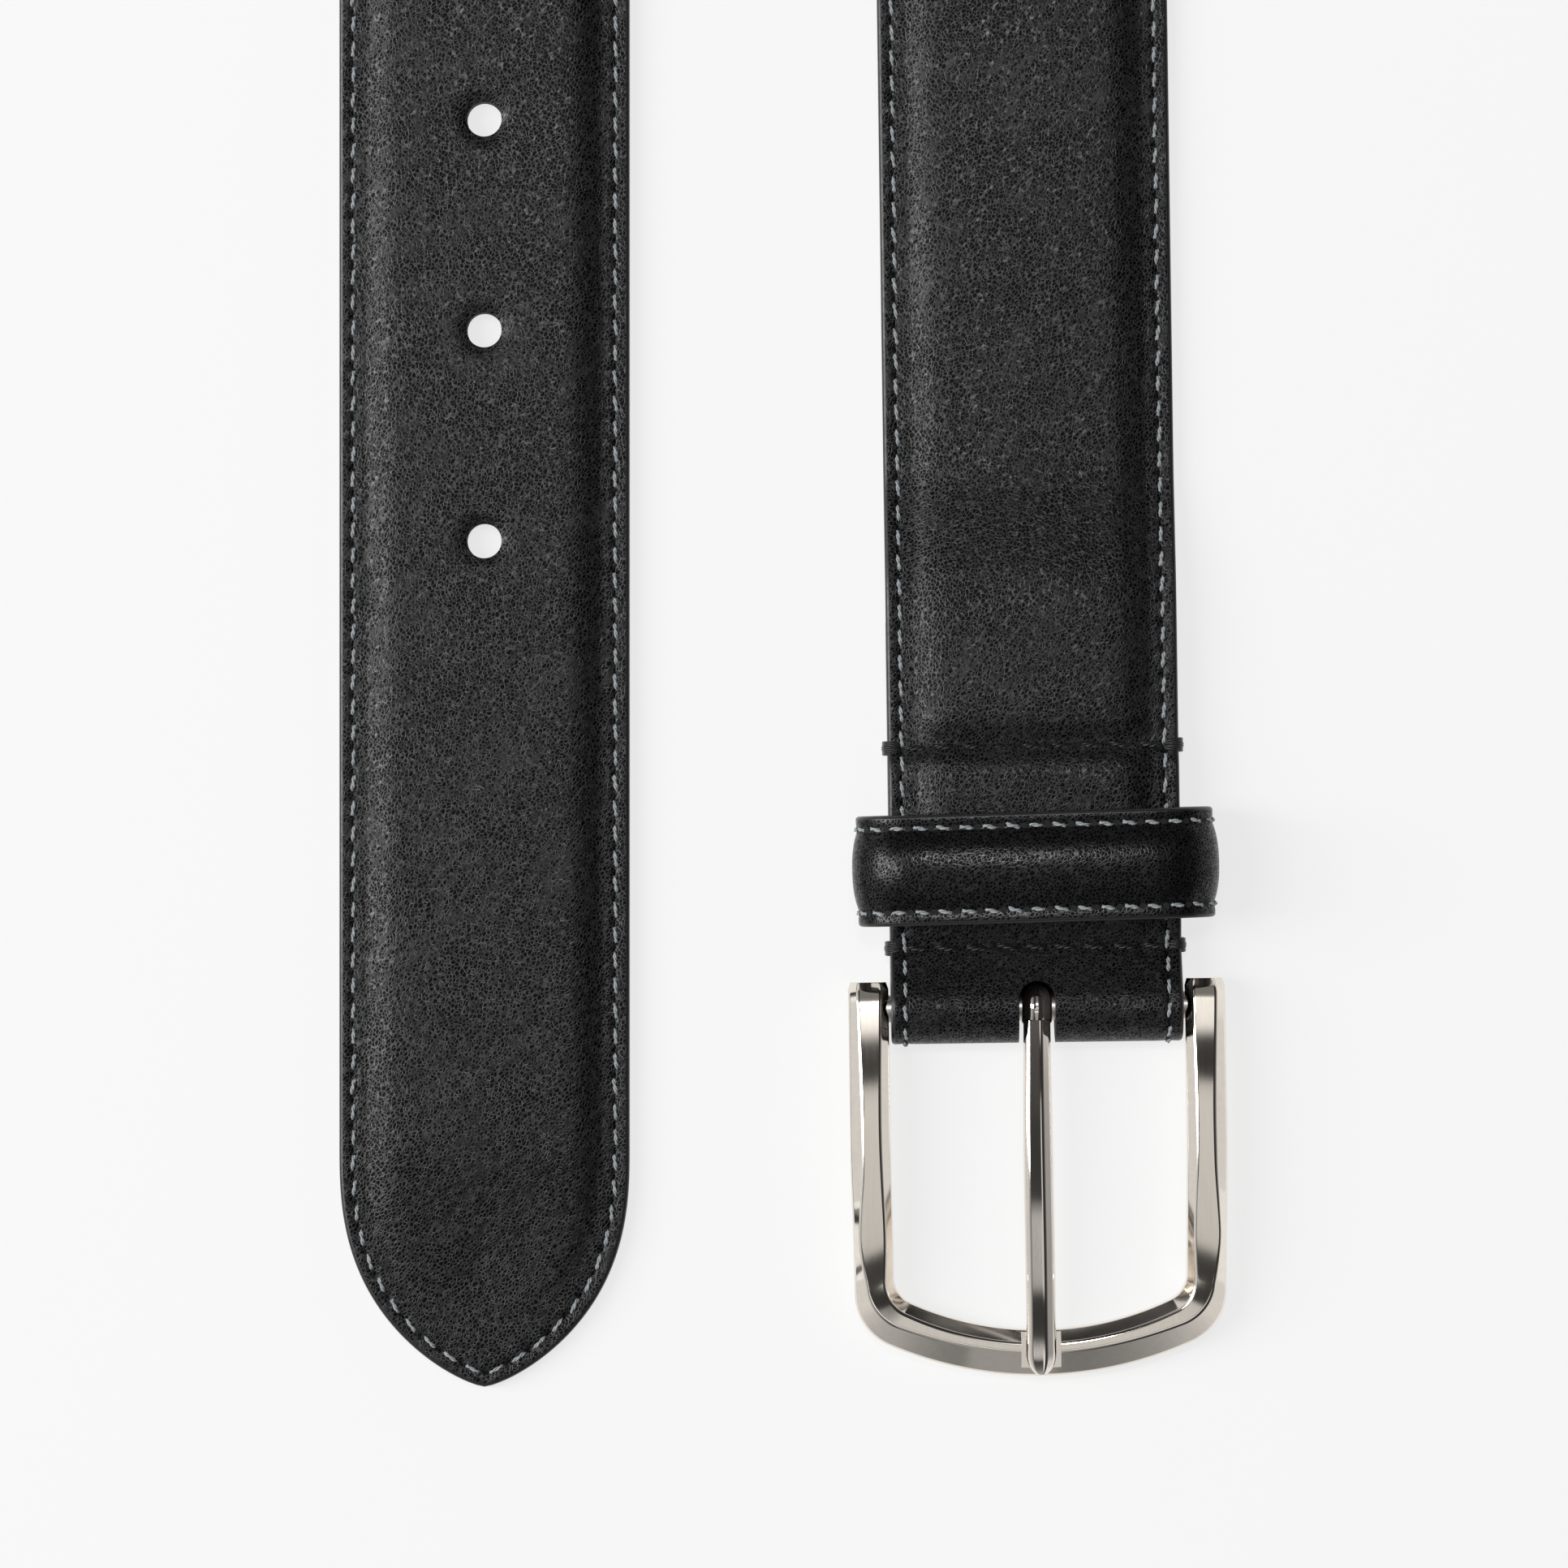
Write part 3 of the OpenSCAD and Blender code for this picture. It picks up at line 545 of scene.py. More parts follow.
def top_height(e, points):
    """Height of the grain side over the strap's base, for insets e of every station."""
    pad = (pads * tip_fade)[:, None]
    low = smooth((e - PAD_FROM) / PAD_RUN)
    h = PAIR + pad * (PAD * low + crown(e) + lengthwise[:, None] * low)
    h = h - ROUND * (1 - np.sqrt(np.clip(1 - ((ROUND - e).clip(0) / ROUND) ** 2, 0, 1)))
    groove = np.exp(-((e - SEAM_IN) / 0.5) ** 2)
    h = h - 0.08 * groove - np.where(on_hole, 0.34, 0)[:, None] * np.exp(-((e - SEAM_IN) / 0.3) ** 2)
    for d in HOLES:
        r = np.linalg.norm(points - (apex + lean_dir * d), axis=2)
        flat = (up[:, 2] > 0.99)[:, None] & (from_tip < leg_flat)[:, None]
        h = h - np.where(flat, RIM_DROP * np.exp(-(np.maximum(0, r - RIM_FROM) / RIM_RUN) ** 2)
                         + DISH_DROP * np.exp(-(r / DISH_RUN) ** 2), 0)
    return h


def half_points(edge, e):
    return edge[:, None] + unit(centre - edge)[:, None] * e[:, :, None]


e_half = half_insets()
left, right = half_points(low_edge, e_half), half_points(high_edge, e_half)
middle = centre[:, None]
base_points = np.concatenate([left, middle, right[:, ::-1]], 1)
e_all = np.concatenate([e_half, reach[:, None], e_half[:, ::-1]], 1)
heights = top_height(e_all, base_points)
tops = base_points + up[:, None] * heights[:, :, None]


def side_wall(edge, hs):
    return np.stack([edge + up * h for h in hs], 1)


walls = [SPLIT + 0.02, SPLIT + 0.14, 1.6]
floor_e = np.array([0.9, 4.0, 9.0])
floor_left = half_points(low_edge, np.minimum(floor_e[None], reach[:, None] * 0.8))
floor_right = half_points(high_edge, np.minimum(floor_e[None], reach[:, None] * 0.8))
floor = np.concatenate([floor_right, middle, floor_left[:, ::-1]], 1) + up[:, None] * (SPLIT + 0.02)
rings = np.concatenate([side_wall(low_edge, walls), tops, side_wall(high_edge, walls[::-1]), floor], 1)
columns = rings.shape[1]
n_top = tops.shape[1]
faces, col = loft_faces(count, columns, False, True)
is_edge = (col < 3 + 4) | ((col >= 3 + n_top - 5) & (col < 3 + n_top + 3))
is_floor = col >= 3 + n_top + 2
zone = np.where(is_floor, 2, np.where(is_edge, 1, 0))
zone = np.append(zone, 1)
# Painted shade along the seam groove, darkest at each needle hole
painted_shade = np.zeros((count, columns))
painted_shade[:, 3:3 + n_top] = (np.exp(-((e_all - SEAM_IN) / 0.42) ** 2) * np.where(on_hole, 1.0, 0.25)[:, None])
strap_grain = made("strap_grain", rings.reshape(-1, 3), faces, [STRAP_GRAIN, EDGE_PAINT, RAW_EDGE],
                   zone, painted_shade.ravel())
merge_close(strap_grain, 0.001)

# The lining, with its own rounded edge and its own seam
back_e = np.array([0.0, 0.06, 0.2, 0.4, 0.8, 1.3, 1.7, 2.1, 2.8, 5.0, 8.0])


def back_height(e):
    h = 0.4 * (1 - np.sqrt(np.clip(1 - ((0.4 - e).clip(0) / 0.4) ** 2, 0, 1)))
    return h + 0.07 * np.exp(-((e - SEAM_IN) / 0.5) ** 2) + np.where(on_hole, 0.3, 0)[:, None] * np.exp(
        -((e - SEAM_IN) / 0.3) ** 2)


e_back = np.minimum(np.repeat(back_e[None], count, 0), reach[:, None] * 0.92)
under_left, under_right = half_points(low_edge, e_back), half_points(high_edge, e_back)
under = np.concatenate([under_right, middle, under_left[:, ::-1]], 1)
e_under = np.concatenate([e_back, reach[:, None], e_back[:, ::-1]], 1)
under = under + up[:, None] * back_height(e_under)[:, :, None]
back_walls = [0.7, SPLIT - 0.14, SPLIT - 0.02]
lid = np.concatenate([floor_left, middle, floor_right[:, ::-1]], 1) + up[:, None] * (SPLIT - 0.02)
rings = np.concatenate([side_wall(low_edge, back_walls), lid,
                        side_wall(high_edge, back_walls[::-1]), under], 1)
columns = rings.shape[1]
faces, col = loft_faces(count, columns, False, True)
first_under = 3 + lid.shape[1] + 3
is_edge = (col < 3) | ((col >= 3 + lid.shape[1] - 1) & (col < first_under + 3)) | (col >= columns - 4)
zone = np.append(np.where(is_edge, 1, 0), 1)
# Painted shade along the lining's seam groove, darkest at each needle hole
painted_shade = np.zeros((count, columns))
painted_shade[:, first_under:] = np.exp(-((e_under - SEAM_IN) / 0.4) ** 2) * np.where(on_hole, 1.0, 0.2)[:, None]
strap_back = made("strap_back", rings.reshape(-1, 3), faces, [LINING, EDGE_PAINT, RAW_EDGE],
                  zone, painted_shade.ravel())
merge_close(strap_back, 0.001)


def cylinders(places, r, low, high, n=64):
    points, faces = [], []
    a = np.linspace(0, 2 * math.pi, n, endpoint=False)
    for p in places:
        first = len(points)
        for z in (low, high):
            points += [[p[0] + r * math.cos(b), p[1] + r * math.sin(b), z] for b in a]
        faces += [[first + i, first + (i + 1) % n, first + n + (i + 1) % n, first + n + i] for i in range(n)]
        faces += [[first + i for i in range(n)][::-1], [first + n + i for i in range(n)]]
    return np.array(points), faces


def slot_cutter(width, back, low, high):
    """The prong's slot through the fold: a round end behind the bar, open to the front."""
    r = width / 2
    a = np.linspace(0, math.pi, 24)
    outline = [[r * math.cos(b), back - r + r * math.sin(b)] for b in a] + [[-r, -14], [r, -14]]
    n = len(outline)
    points = [[BAR[0] + p[0], BAR[1] + p[1], z] for z in (low, high) for p in outline]
    faces = [[i, (i + 1) % n, n + (i + 1) % n, n + i] for i in range(n)]
    return np.array(points), faces + [list(range(n))[::-1], [n + i for i in range(n)]]


for obj in (strap_grain, strap_back):
    raw = [RAW_EDGE] * 3
    cutters = [cylinders([apex + lean_dir * d for d in HOLES], HOLE_R, -3, 8),
               slot_cutter(SLOT_W, SLOT_BACK, BAR[2] - 1.9, 16),
               slot_cutter(SLOT_W, SLOT_BACK_LOW, -3, BAR[2])]
    for points, faces in cutters:
        boolean(obj, made("cutter", points, faces, raw, [2] * len(faces)), "DIFFERENCE")

STRETCHES = ("tip", "loop", "fold", "wrap", "tail")
finish(strap_grain, "strap", [f"{s}_face" for s in STRETCHES] + ["strap_filler"])
finish(strap_back, "strap", [f"{s}_lining" for s in STRETCHES])

# ---- Stitches ----


SEWN = (0.17, 0.83)     # the part of each stitch length where its thread shows


def twisted(name, lines, ups, radius, plies, turns, material, lift, dive, slant=0.0, rings_n=9, sides=6,
            flat=1.0, ends=(0.1, 0.9), seed=1):
    """Short twisted cords, one along each line of points; both ends dive into the leather."""
    lines, ups = np.asarray(lines, float), np.asarray(ups, float)
    n, k = lines.shape[:2]
    t = np.linspace(ends[0], ends[1], rings_n)
    where = t * (k - 1)
    i = np.minimum(where.astype(int), k - 2)
    f = (where - i)[None, :, None]
    axis = lines[:, i] * (1 - f) + lines[:, i + 1] * f
    upward = unit(ups[:, i] * (1 - f) + ups[:, i + 1] * f)
    ahead = unit(np.gradient(axis, axis=1))
    side = unit(np.cross(ahead, upward))
    v = (2 * (t - ends[0]) / (ends[1] - ends[0]) - 1)[None, :, None]
    rng = np.random.default_rng(seed)
    vary = rng.normal(0, 1, (n, 1, 1))
    axis = axis + upward * (lift - dive * np.abs(v) ** 3.2) + side * (slant * (1 + 0.35 * vary) * v)
    axis = axis + side * rng.normal(0, 0.03, (n, 1, 1))
    thick = radius * (1 - 0.35 * np.abs(v) ** 6) * (1 + 0.05 * rng.normal(0, 1, (n, 1, 1)))
    phase = rng.uniform(0, 2 * math.pi, (n, 1, 1))
    points, faces = [], []
    ring = np.linspace(0, 2 * math.pi, sides, endpoint=False)
    for ply in range(plies):
        a = phase + 2 * math.pi * (ply / plies + turns * t[None, :, None])
        off = thick * (0.5 if plies > 1 else 0.0)
        core = axis + side * np.cos(a) * off + upward * np.sin(a) * off * flat
        r = thick * (0.62 if plies > 1 else 1.0)
        tube = (core[:, :, None] + side[:, :, None] * (np.cos(ring)[None, None, :, None] * r[:, :, None])
                + upward[:, :, None] * (np.sin(ring)[None, None, :, None] * r[:, :, None] * flat))
        points.append(tube.reshape(-1, 3))
    per = rings_n * sides
    one, _ = loft_faces(rings_n, sides, True, True)
    for m in range(n * plies):
        faces += [[x + m * per for x in face] for face in one]
    return made(name, np.concatenate(points), faces, [material], sharp=70)


def seam_rows(edge, e, height):
    p = inset(edge, centre, e) + up * height
    a = np.arange(stitches)[:, None] * 4 + np.arange(5)[None]
    return p[a], up[a]


# The tail's grain side lies on the surface, so its stitches are pressed flat
seam_h = np.where(is_tail, PAIR - 0.10, PAIR)[:, None]
for name, edge, slant, stands_for in (("needle_stitches_low", low_edge, 0.13, ["needle_thread"]),
                                      ("needle_stitches_high", high_edge, -0.13, [])):
    lines, ups = seam_rows(edge, SEAM_IN, seam_h)
    obj = twisted(name, lines, ups, 0.225, 2, 1.6, PALE_THREAD, 0.12, 0.40, slant,
                  ends=SEWN, seed=5, flat=0.85)
    finish(obj, "strap", stands_for)
rows = [seam_rows(edge, SEAM_IN, np.full((count, 1), 0.10)) for edge in (low_edge, high_edge)]
lines, ups = (np.concatenate([row[i] for row in rows]) for i in range(2))
obj = twisted("bobbin_stitches", lines, -ups, 0.25, 2, 1.3, PALE_THREAD, 0.0, 0.3, 0.1,
              rings_n=6, sides=5, ends=SEWN, seed=9, flat=0.7)
finish(obj, "strap", ["bobbin_thread"])


def tube(points, radius, sides=8, n=None):
    """Points and faces of a round tube along a line."""
    p = np.asarray(points, float)
    if n:
        s = np.concatenate([[0], np.cumsum(np.linalg.norm(np.diff(p, axis=0), axis=1))])
        w = np.linspace(0, s[-1], n)
        p = np.stack([np.interp(w, s, p[:, i]) for i in range(3)], 1)
        q = np.pad(p, ((2, 2), (0, 0)), mode="edge")
        p = (q[:-4] + 2 * q[1:-3] + 3 * q[2:-2] + 2 * q[3:-1] + q[4:]) / 9
    ahead = unit(np.gradient(p, axis=0))
    ref = Y if abs(ahead[0] @ Y) < 0.9 else Z
    a = unit(np.cross(ahead, ref))
    b = np.cross(ahead, a)
    ring = np.linspace(0, 2 * math.pi, sides, endpoint=False)
    pts = (p[:, None] + a[:, None] * np.cos(ring)[None, :, None] * radius
           + b[:, None] * np.sin(ring)[None, :, None] * radius).reshape(-1, 3)
    return pts, loft_faces(len(p), sides, True, True)[0]


def joined(name, parts, material):
    points, faces, first = [], [], 0
    for p, f in parts:
        points.append(p)
        faces += [[x + first for x in face] for face in f]
        first += len(p)
    return made(name, np.concatenate(points), faces, [material], sharp=70)


on_buckle_leg = (up[:, 2] > 0.5) & (centre[:, 1] < BAR[1] + FLAT_LEN) & (centre[:, 0] > 0)


def top_at(y, u):
    """Height of the grain side at a distance y from the bar and u from the middle, clear of needle holes."""
    rows_here = np.where(on_buckle_leg)[0]
    k = rows_here[np.argmin(np.abs(centre[rows_here, 1] - BAR[1] - y))]
    order = np.argsort(tops[k, :, 0])
    smooth_h = np.interp(BAR[0] + u, tops[k, order, 0], tops[k, order, 2])
    k2 = k + 2 if (k % 4) == 0 else k
    order = np.argsort(tops[k2, :, 0])
    return max(smooth_h, float(np.interp(BAR[0] + u, tops[k2, order, 0], tops[k2, order, 2])))


def cross_seam(name, y, node, seed):
    """A row of heavy black stitches across the strap, bound over both edges."""
    rng = np.random.default_rng(seed)
    pitch = 3.55
    n = 9
    lines, ups = [], []
    for i in range(n):
        u0 = (i - n / 2) * pitch
        us = np.linspace(u0, u0 + pitch, 5)
        lines.append([[BAR[0] + u, BAR[1] + y + rng.normal(0, 0.05), top_at(y, u)] for u in us])
        ups.append([Z] * 5)
    main = twisted(name, lines, ups, 0.36, 3, 1.3, BLACK_THREAD, 0.14, 0.5, 0.16, rings_n=13, sides=7,
                   ends=(0.09, 0.91), seed=seed)
    parts = []
    for side in (-1, 1):
        for j in range(3):
            off = (j - 1) * 0.55
            zt = top_at(y, side * 15.6)
            arch = [(15.7, zt - 0.3), (16.3, zt + 0.2), (17.2, zt + 0.22), (17.75, zt - 0.25),
                    (17.95, (zt + 0.6) / 2 + 0.6), (17.95, 1.6), (17.75, 0.5), (17.2, 0.22), (16.0, 0.3)]
            pts = [[BAR[0] + side * (a + 0.08 * (j == 1)), BAR[1] + y + off * (0.55 + 0.45 * (i > 1)), z]
                   for i, (a, z) in enumerate(arch)]
            for ply in (-1, 1):
                q = np.array(pts)
                q[:, 1] += ply * 0.13
                parts.append(tube(q, 0.19, 8, 40))
    wraps = joined(name + "_wraps", parts, BLACK_THREAD)
    finish(main, "strap", [node])
    finish(wraps, "strap")
    # Needle holes between the stitches: dark sleeves that paint the shade inside them
    painted_shades = []
    for i in range(n + 1):
        u = (i - n / 2) * pitch
        z = top_at(y, u)
        a = np.linspace(0, 2 * math.pi, 14, endpoint=False)
        rim = np.stack([BAR[0] + u + 0.5 * np.cos(a), BAR[1] + y + 0.42 * np.sin(a),
                        np.full(14, z + 0.03)], 1)
        low = rim.copy()
        low[:, 2] -= 0.4
        painted_shades.append((np.concatenate([low, rim]), loft_faces(2, 14, True, True)[0]))
    shade_obj = joined(name + "_hole_shade", painted_shades, HOLE_SHADE)
    finish(shade_obj, "strap")


cross_seam("near_cross_seam", NEAR_SEAM, "near_cross_stitch", 21)
cross_seam("far_cross_seam", FAR_SEAM, "far_cross_stitch", 22)

# ---- Keeper ----

KEEPER_IN = 39.8     # clear width inside
KEEPER_TOP = 11.8    # height of its inside at the sides
KEEPER_BACK_T = 0.9
KEEPER_FOOT = 0.78   # room under its grain leather for the lining, at the front
LOW_R = 1.2
HIGH_R = 3.4
ROW_IN = 1.6         # from the keeper's edges to its stitched rows
SIDE_THIN = 0.33     # how much thinner the wall is at the keeper's sides
keeper_low = PAIR + 0.15 + KEEPER_BACK_T
tilt = math.radians(0.9)
k_mid = np.array([BAR[0], BAR[1] + KEEPER_AT + KEEPER_W / 2, 0])
k_side = np.array([math.cos(tilt), math.sin(tilt), 0])
k_along = np.array([-math.sin(tilt), math.cos(tilt), 0])
half_in = KEEPER_IN / 2


def corner(x, z, r, a0, a1, n=16):
    a = np.radians(np.linspace(a0, a1, n))
    return [[x + r * math.cos(b), z + r * math.sin(b)] for b in a]


xs = np.linspace(0.8, 0, 40)
half_line = ([[0.05, keeper_low]] + corner(half_in - LOW_R, keeper_low + LOW_R, LOW_R, -90, 0)
             + corner(half_in - HIGH_R, KEEPER_TOP - HIGH_R, HIGH_R, 0, 82)
             + [[x * half_in, KEEPER_TOP + 0.6 * (1 - x * x) - 0.05 * (x > 0.75)] for x in xs])
half_line = np.array(half_line)
line2 = np.concatenate([half_line, (half_line * [-1, 1])[-2::-1]])
s = np.concatenate([[0], np.cumsum(np.hypot(*np.diff(line2, axis=0).T))])
w = np.linspace(0, s[-1], 241)
line2 = np.stack([np.interp(w, s, line2[:, i]) for i in range(2)], 1)
for _ in range(3):
    line2[1:-1] = (line2[:-2] + 2 * line2[1:-1] + line2[2:]) / 4
way2 = unit(np.gradient(line2, axis=0))
out2 = np.stack([way2[:, 1], -way2[:, 0]], 1)
k_front = smooth((line2[:, 1] - keeper_low - 0.6) / 1.4)
k_side_part = np.abs(way2[:, 1]) * k_front
k_pad = smooth((line2[:, 1] - keeper_low - 1.5) / 3.0) * (1 - 0.45 * k_side_part)


def keeper_profile(pad, front, side):
    """[across, height] round the keeper's wall, grain side first."""
    hw = KEEPER_W / 2
    e = np.array([0, 0.06, 0.17, 0.3, 0.45, 0.9, 1.25, 1.6, 1.95, 2.35, 2.8, 3.4, 4.2, 5.2])
    v = np.concatenate([-hw + e, [0], hw - e[::-1]])
    ee = np.minimum(v + hw, hw - v)
    thick = KEEPER_BACK_T + 0.9 * front - SIDE_THIN * side
    bulge = np.clip(1 - (np.abs(v) / 4.5) ** 2.3, 0, 1) ** 0.9
    h = thick + 1.15 * pad * bulge
    h = h - 0.42 * (1 - np.sqrt(np.clip(1 - ((0.42 - ee).clip(0) / 0.42) ** 2, 0, 1)))
    h = h - 0.10 * front * np.exp(-((ee - ROW_IN) / 0.4) ** 2)
    return v, h, ee


rings, painted_shades = [], []
for i in range(len(line2)):
    v, h, ee = keeper_profile(k_pad[i], k_front[i], k_side_part[i])
    base = KEEPER_FOOT * k_front[i]
    halfway = mix(base, h[0], 0.5)
    wall_low = [[-KEEPER_W / 2, base], [-KEEPER_W / 2, halfway]]
    wall_high = [[KEEPER_W / 2, halfway], [KEEPER_W / 2, base]]
    inner = [[4.0, base], [0, base], [-4.0, base]]
    prof = np.array(wall_low + list(map(list, zip(v, h))) + wall_high + inner)
    p = line2[i]
    o = out2[i]
    rings.append([k_mid + k_side * (p[0] + o[0] * q[1]) + k_along * q[0]
                  + Z * (p[1] + o[1] * q[1]) for q in prof])
    # Painted shade along the keeper's stitched rows
    row_shade = 0.35 * np.exp(-((ee - ROW_IN) / 0.35) ** 2) * k_front[i]
    painted_shades.append(np.concatenate([[0, 0], row_shade, [0, 0, 0, 0, 0]]))
rings = np.array(rings)
rows_n, cols_n = rings.shape[:2]
faces, col = loft_faces(rows_n, cols_n, True, True)
nv = len(v)
edge_zone = (col < 2 + 4) | ((col >= 2 + nv - 5) & (col < 2 + nv + 2))
inner_zone = col >= 2 + nv + 1
zone = np.append(np.where(inner_zone, 2, np.where(edge_zone, 1, 0)), [1, 1])
keeper_grain = made("keeper_grain", rings.reshape(-1, 3), [f[::-1] for f in faces],
                    [KEEPER_GRAIN, EDGE_PAINT, LINING], zone, np.array(painted_shades).ravel())
merge_close(keeper_grain, 0.0001)
finish(keeper_grain, "keeper", ["keeper_face", "keeper_filler"])

front = np.where(line2[:, 1] > keeper_low + 1.6)[0]
rings = []
for i in range(front[0], front[-1] + 1):
    prof = [[-6.55, 0.12], [-6.55, 0.66], [-6.45, 0.76], [0, 0.76], [6.45, 0.76], [6.55, 0.66], [6.55, 0.12],
            [6.45, 0.0], [0, 0.0], [-6.45, 0.0]]
    rings.append([k_mid + k_side * (line2[i, 0] + out2[i, 0] * q[1]) + k_along * q[0]
                  + Z * (line2[i, 1] + out2[i, 1] * q[1]) for q in prof])
rings = np.array(rings)
keeper_inside = made("keeper_inside", rings.reshape(-1, 3),
                     [f[::-1] for f in loft_faces(len(rings), 10, True, True)[0]], [LINING])
finish(keeper_inside, "keeper", ["keeper_lining"])

K_PITCH = 2.65
s = np.concatenate([[0], np.cumsum(np.hypot(*np.diff(line2, axis=0).T))])
outer = line2 + out2 * (1.8 - SIDE_THIN * k_side_part[:, None])
so = np.concatenate([[0], np.cumsum(np.hypot(*np.diff(outer, axis=0).T))])
s0, s1 = so[front[0] + 3], so[front[-1] - 3]
k_count = int((s1 - s0) / K_PITCH)
for name, v0, node in (("keeper_stitches_near", -KEEPER_W / 2 + ROW_IN, "keeper_near_stitch"),
                       ("keeper_stitches_far", KEEPER_W / 2 - ROW_IN, "keeper_far_stitch")):
    lines, ups, shade_discs = [], [], []
    for i in range(k_count):
        a = s0 + (s1 - s0) * (i + np.linspace(0, 1, 5)) / k_count
        px, pz = np.interp(a, so, outer[:, 0]), np.interp(a, so, outer[:, 1])
        ox, oz = np.interp(a, so, out2[:, 0]), np.interp(a, so, out2[:, 1])
        lines.append([k_mid + k_side * px[j] + k_along * v0 + Z * pz[j] for j in range(5)])
        ups.append([k_side * ox[j] + Z * oz[j] for j in range(5)])
        # A dark sleeve in each needle hole: painted shade inside it
        c, n_up = lines[-1][0], ups[-1][0]
        t1 = unit(np.cross(n_up, k_along))
        ring = np.linspace(0, 2 * math.pi, 12, endpoint=False)
        rim = np.array([c + n_up * -0.04 + t1 * 0.40 * math.cos(b) + k_along * 0.36 * math.sin(b)
                        for b in ring])
        shade_discs.append((np.concatenate([rim - n_up * 0.3, rim]), loft_faces(2, 12, True, True)[0]))
    obj = twisted(name, lines, ups, 0.24, 2, 1.3, PALE_THREAD, 0.06, 0.36, 0.16,
                  ends=SEWN, seed=31, flat=0.85)
    finish(obj, "keeper", [node])
    finish(joined(name + "_hole_shade", shade_discs, HOLE_SHADE), "keeper")

# ---- Buckle frame ----

FRAME_FRONT = 44.5
ARM_BACK = 3.2


def outline(top_x, x, front_y, r, rc, n=(44, 22, 40)):
    """Right half of a frame outline: an arm, a corner of radius rc and a front of radius r."""
    mid_y = front_y + r
    cx = x - rc
    cy = mid_y - math.sqrt((r - rc) ** 2 - cx * cx)
    end_a = math.atan2(cy - mid_y, cx)
    pts = []
    for t in np.linspace(1, 0, n[0]):
        pts.append([mix(x, top_x, float(smooth(2 * t))), mix(cy, ARM_BACK, t)])
    for a in np.linspace(0, end_a, n[1] + 1)[1:]:
        pts.append([cx + rc * math.cos(a), cy + rc * math.sin(a)])
    for a in np.linspace(end_a, -math.pi / 2, n[2] + 1)[1:]:
        pts.append([r * math.cos(a), mid_y + r * math.sin(a)])
    return np.array(pts)


outer_half = outline(top_x=22.65, x=22.35, front_y=-FRAME_FRONT, r=44.6, rc=7)
inner_half = outline(top_x=17.8, x=17.6, front_y=5.6 - FRAME_FRONT, r=36.9, rc=3.5)


def both(half):
    return np.concatenate([half * [-1, 1], half[-2::-1]])


outer_line, inner_line = both(outer_half), both(inner_half)


def frame_top(y):
    return 7.35 - 0.0031 * (y + 15) ** 2


def frame_low(y):
    return np.maximum(0, 2.5 - 0.0034 * (y + 14) ** 2)


def fillet(points, sizes, n=4):
    """Rounds each corner of a closed line, with a point on each side that keeps the flats flat."""
    out = []
    m = len(points)
    for i in range(m):
        p, a, b = points[i], points[i - 1], points[(i + 1) % m]
        da, db = a - p, b - p
        la, lb = np.linalg.norm(da), np.linalg.norm(db)
        c = min(sizes[i], 0.4 * la, 0.4 * lb)
        q0, q1 = p + da / la * c, p + db / lb * c
        out.append(p + da / la * c * 1.2)
        for t in np.linspace(0, 1, n):
            out.append((1 - t) ** 2 * q0 + 2 * t * (1 - t) * p + t * t * q1)
        out.append(p + db / lb * c * 1.2)
    return np.array(out)


rings = []
ends = len(inner_line) - 1
for i in range(len(inner_line)):
    a, b = inner_line[i], outer_line[i]
    e = unit(b - a)
    wide = np.linalg.norm(b - a)
    y = (a[1] + b[1]) / 2
    fs = float(smooth((-y - 26) / 16))
    top, low = float(frame_top(y)), float(frame_low(y))
    from_end = min(i, ends - i) * (ARM_BACK + 33) / 44
    slope = max(0.0, 1.25 - from_end) * 0.9
    pinch = max(0.0, 0.8 - from_end)
    belly = math.exp(-((y + 14) / 12) ** 2)
    bevel_in = mix(0.9 + 0.35 * belly, 1.6, fs)
    bevel_out = mix(1.05 + 0.5 * belly - 0.4 * float(smooth((-y - 18) / 10)), 3.0, fs)
    drop_in, drop_out = mix(1.0, 1.5, fs), mix(1.15, 1.9, fs)
    top -= slope
    pts = np.array([
        [0.0, low + 1.0], [0.0, top - drop_in], [bevel_in, top], [wide - bevel_out, top],
        [wide, top - drop_out], [wide, low + 1.2], [wide - 0.7, low], [0.6, low],
    ])
    pts[:, 0] = np.clip(pts[:, 0], pinch * 0.35, wide - pinch * 0.35)
    prof = fillet(pts, [0.3, 0.18, 0.22, 0.22, 0.3, 0.3, 0.4, 0.4])
    rings.append([[*(a + e * q[0]), q[1]] for q in prof])
rings = np.array(rings)
rings[0, :, 1] = ARM_BACK
rings[-1, :, 1] = ARM_BACK
rings = rings + [BAR[0], BAR[1], 0]
faces, col = loft_faces(len(rings), rings.shape[1], True, True)
# The flat of the top, between its two rounded corners, is brushed and the rest polished
PER_CORNER = 6
face_zone = np.where((col >= 3 * PER_CORNER - 1) & (col <= 3 * PER_CORNER), 0, 1)
frame_obj = made("buckle_frame_body", rings.reshape(-1, 3), faces, [BRUSHED, POLISHED],
                 np.append(face_zone, [1, 1]), sharp=32)
merge_close(frame_obj, 0.0001)
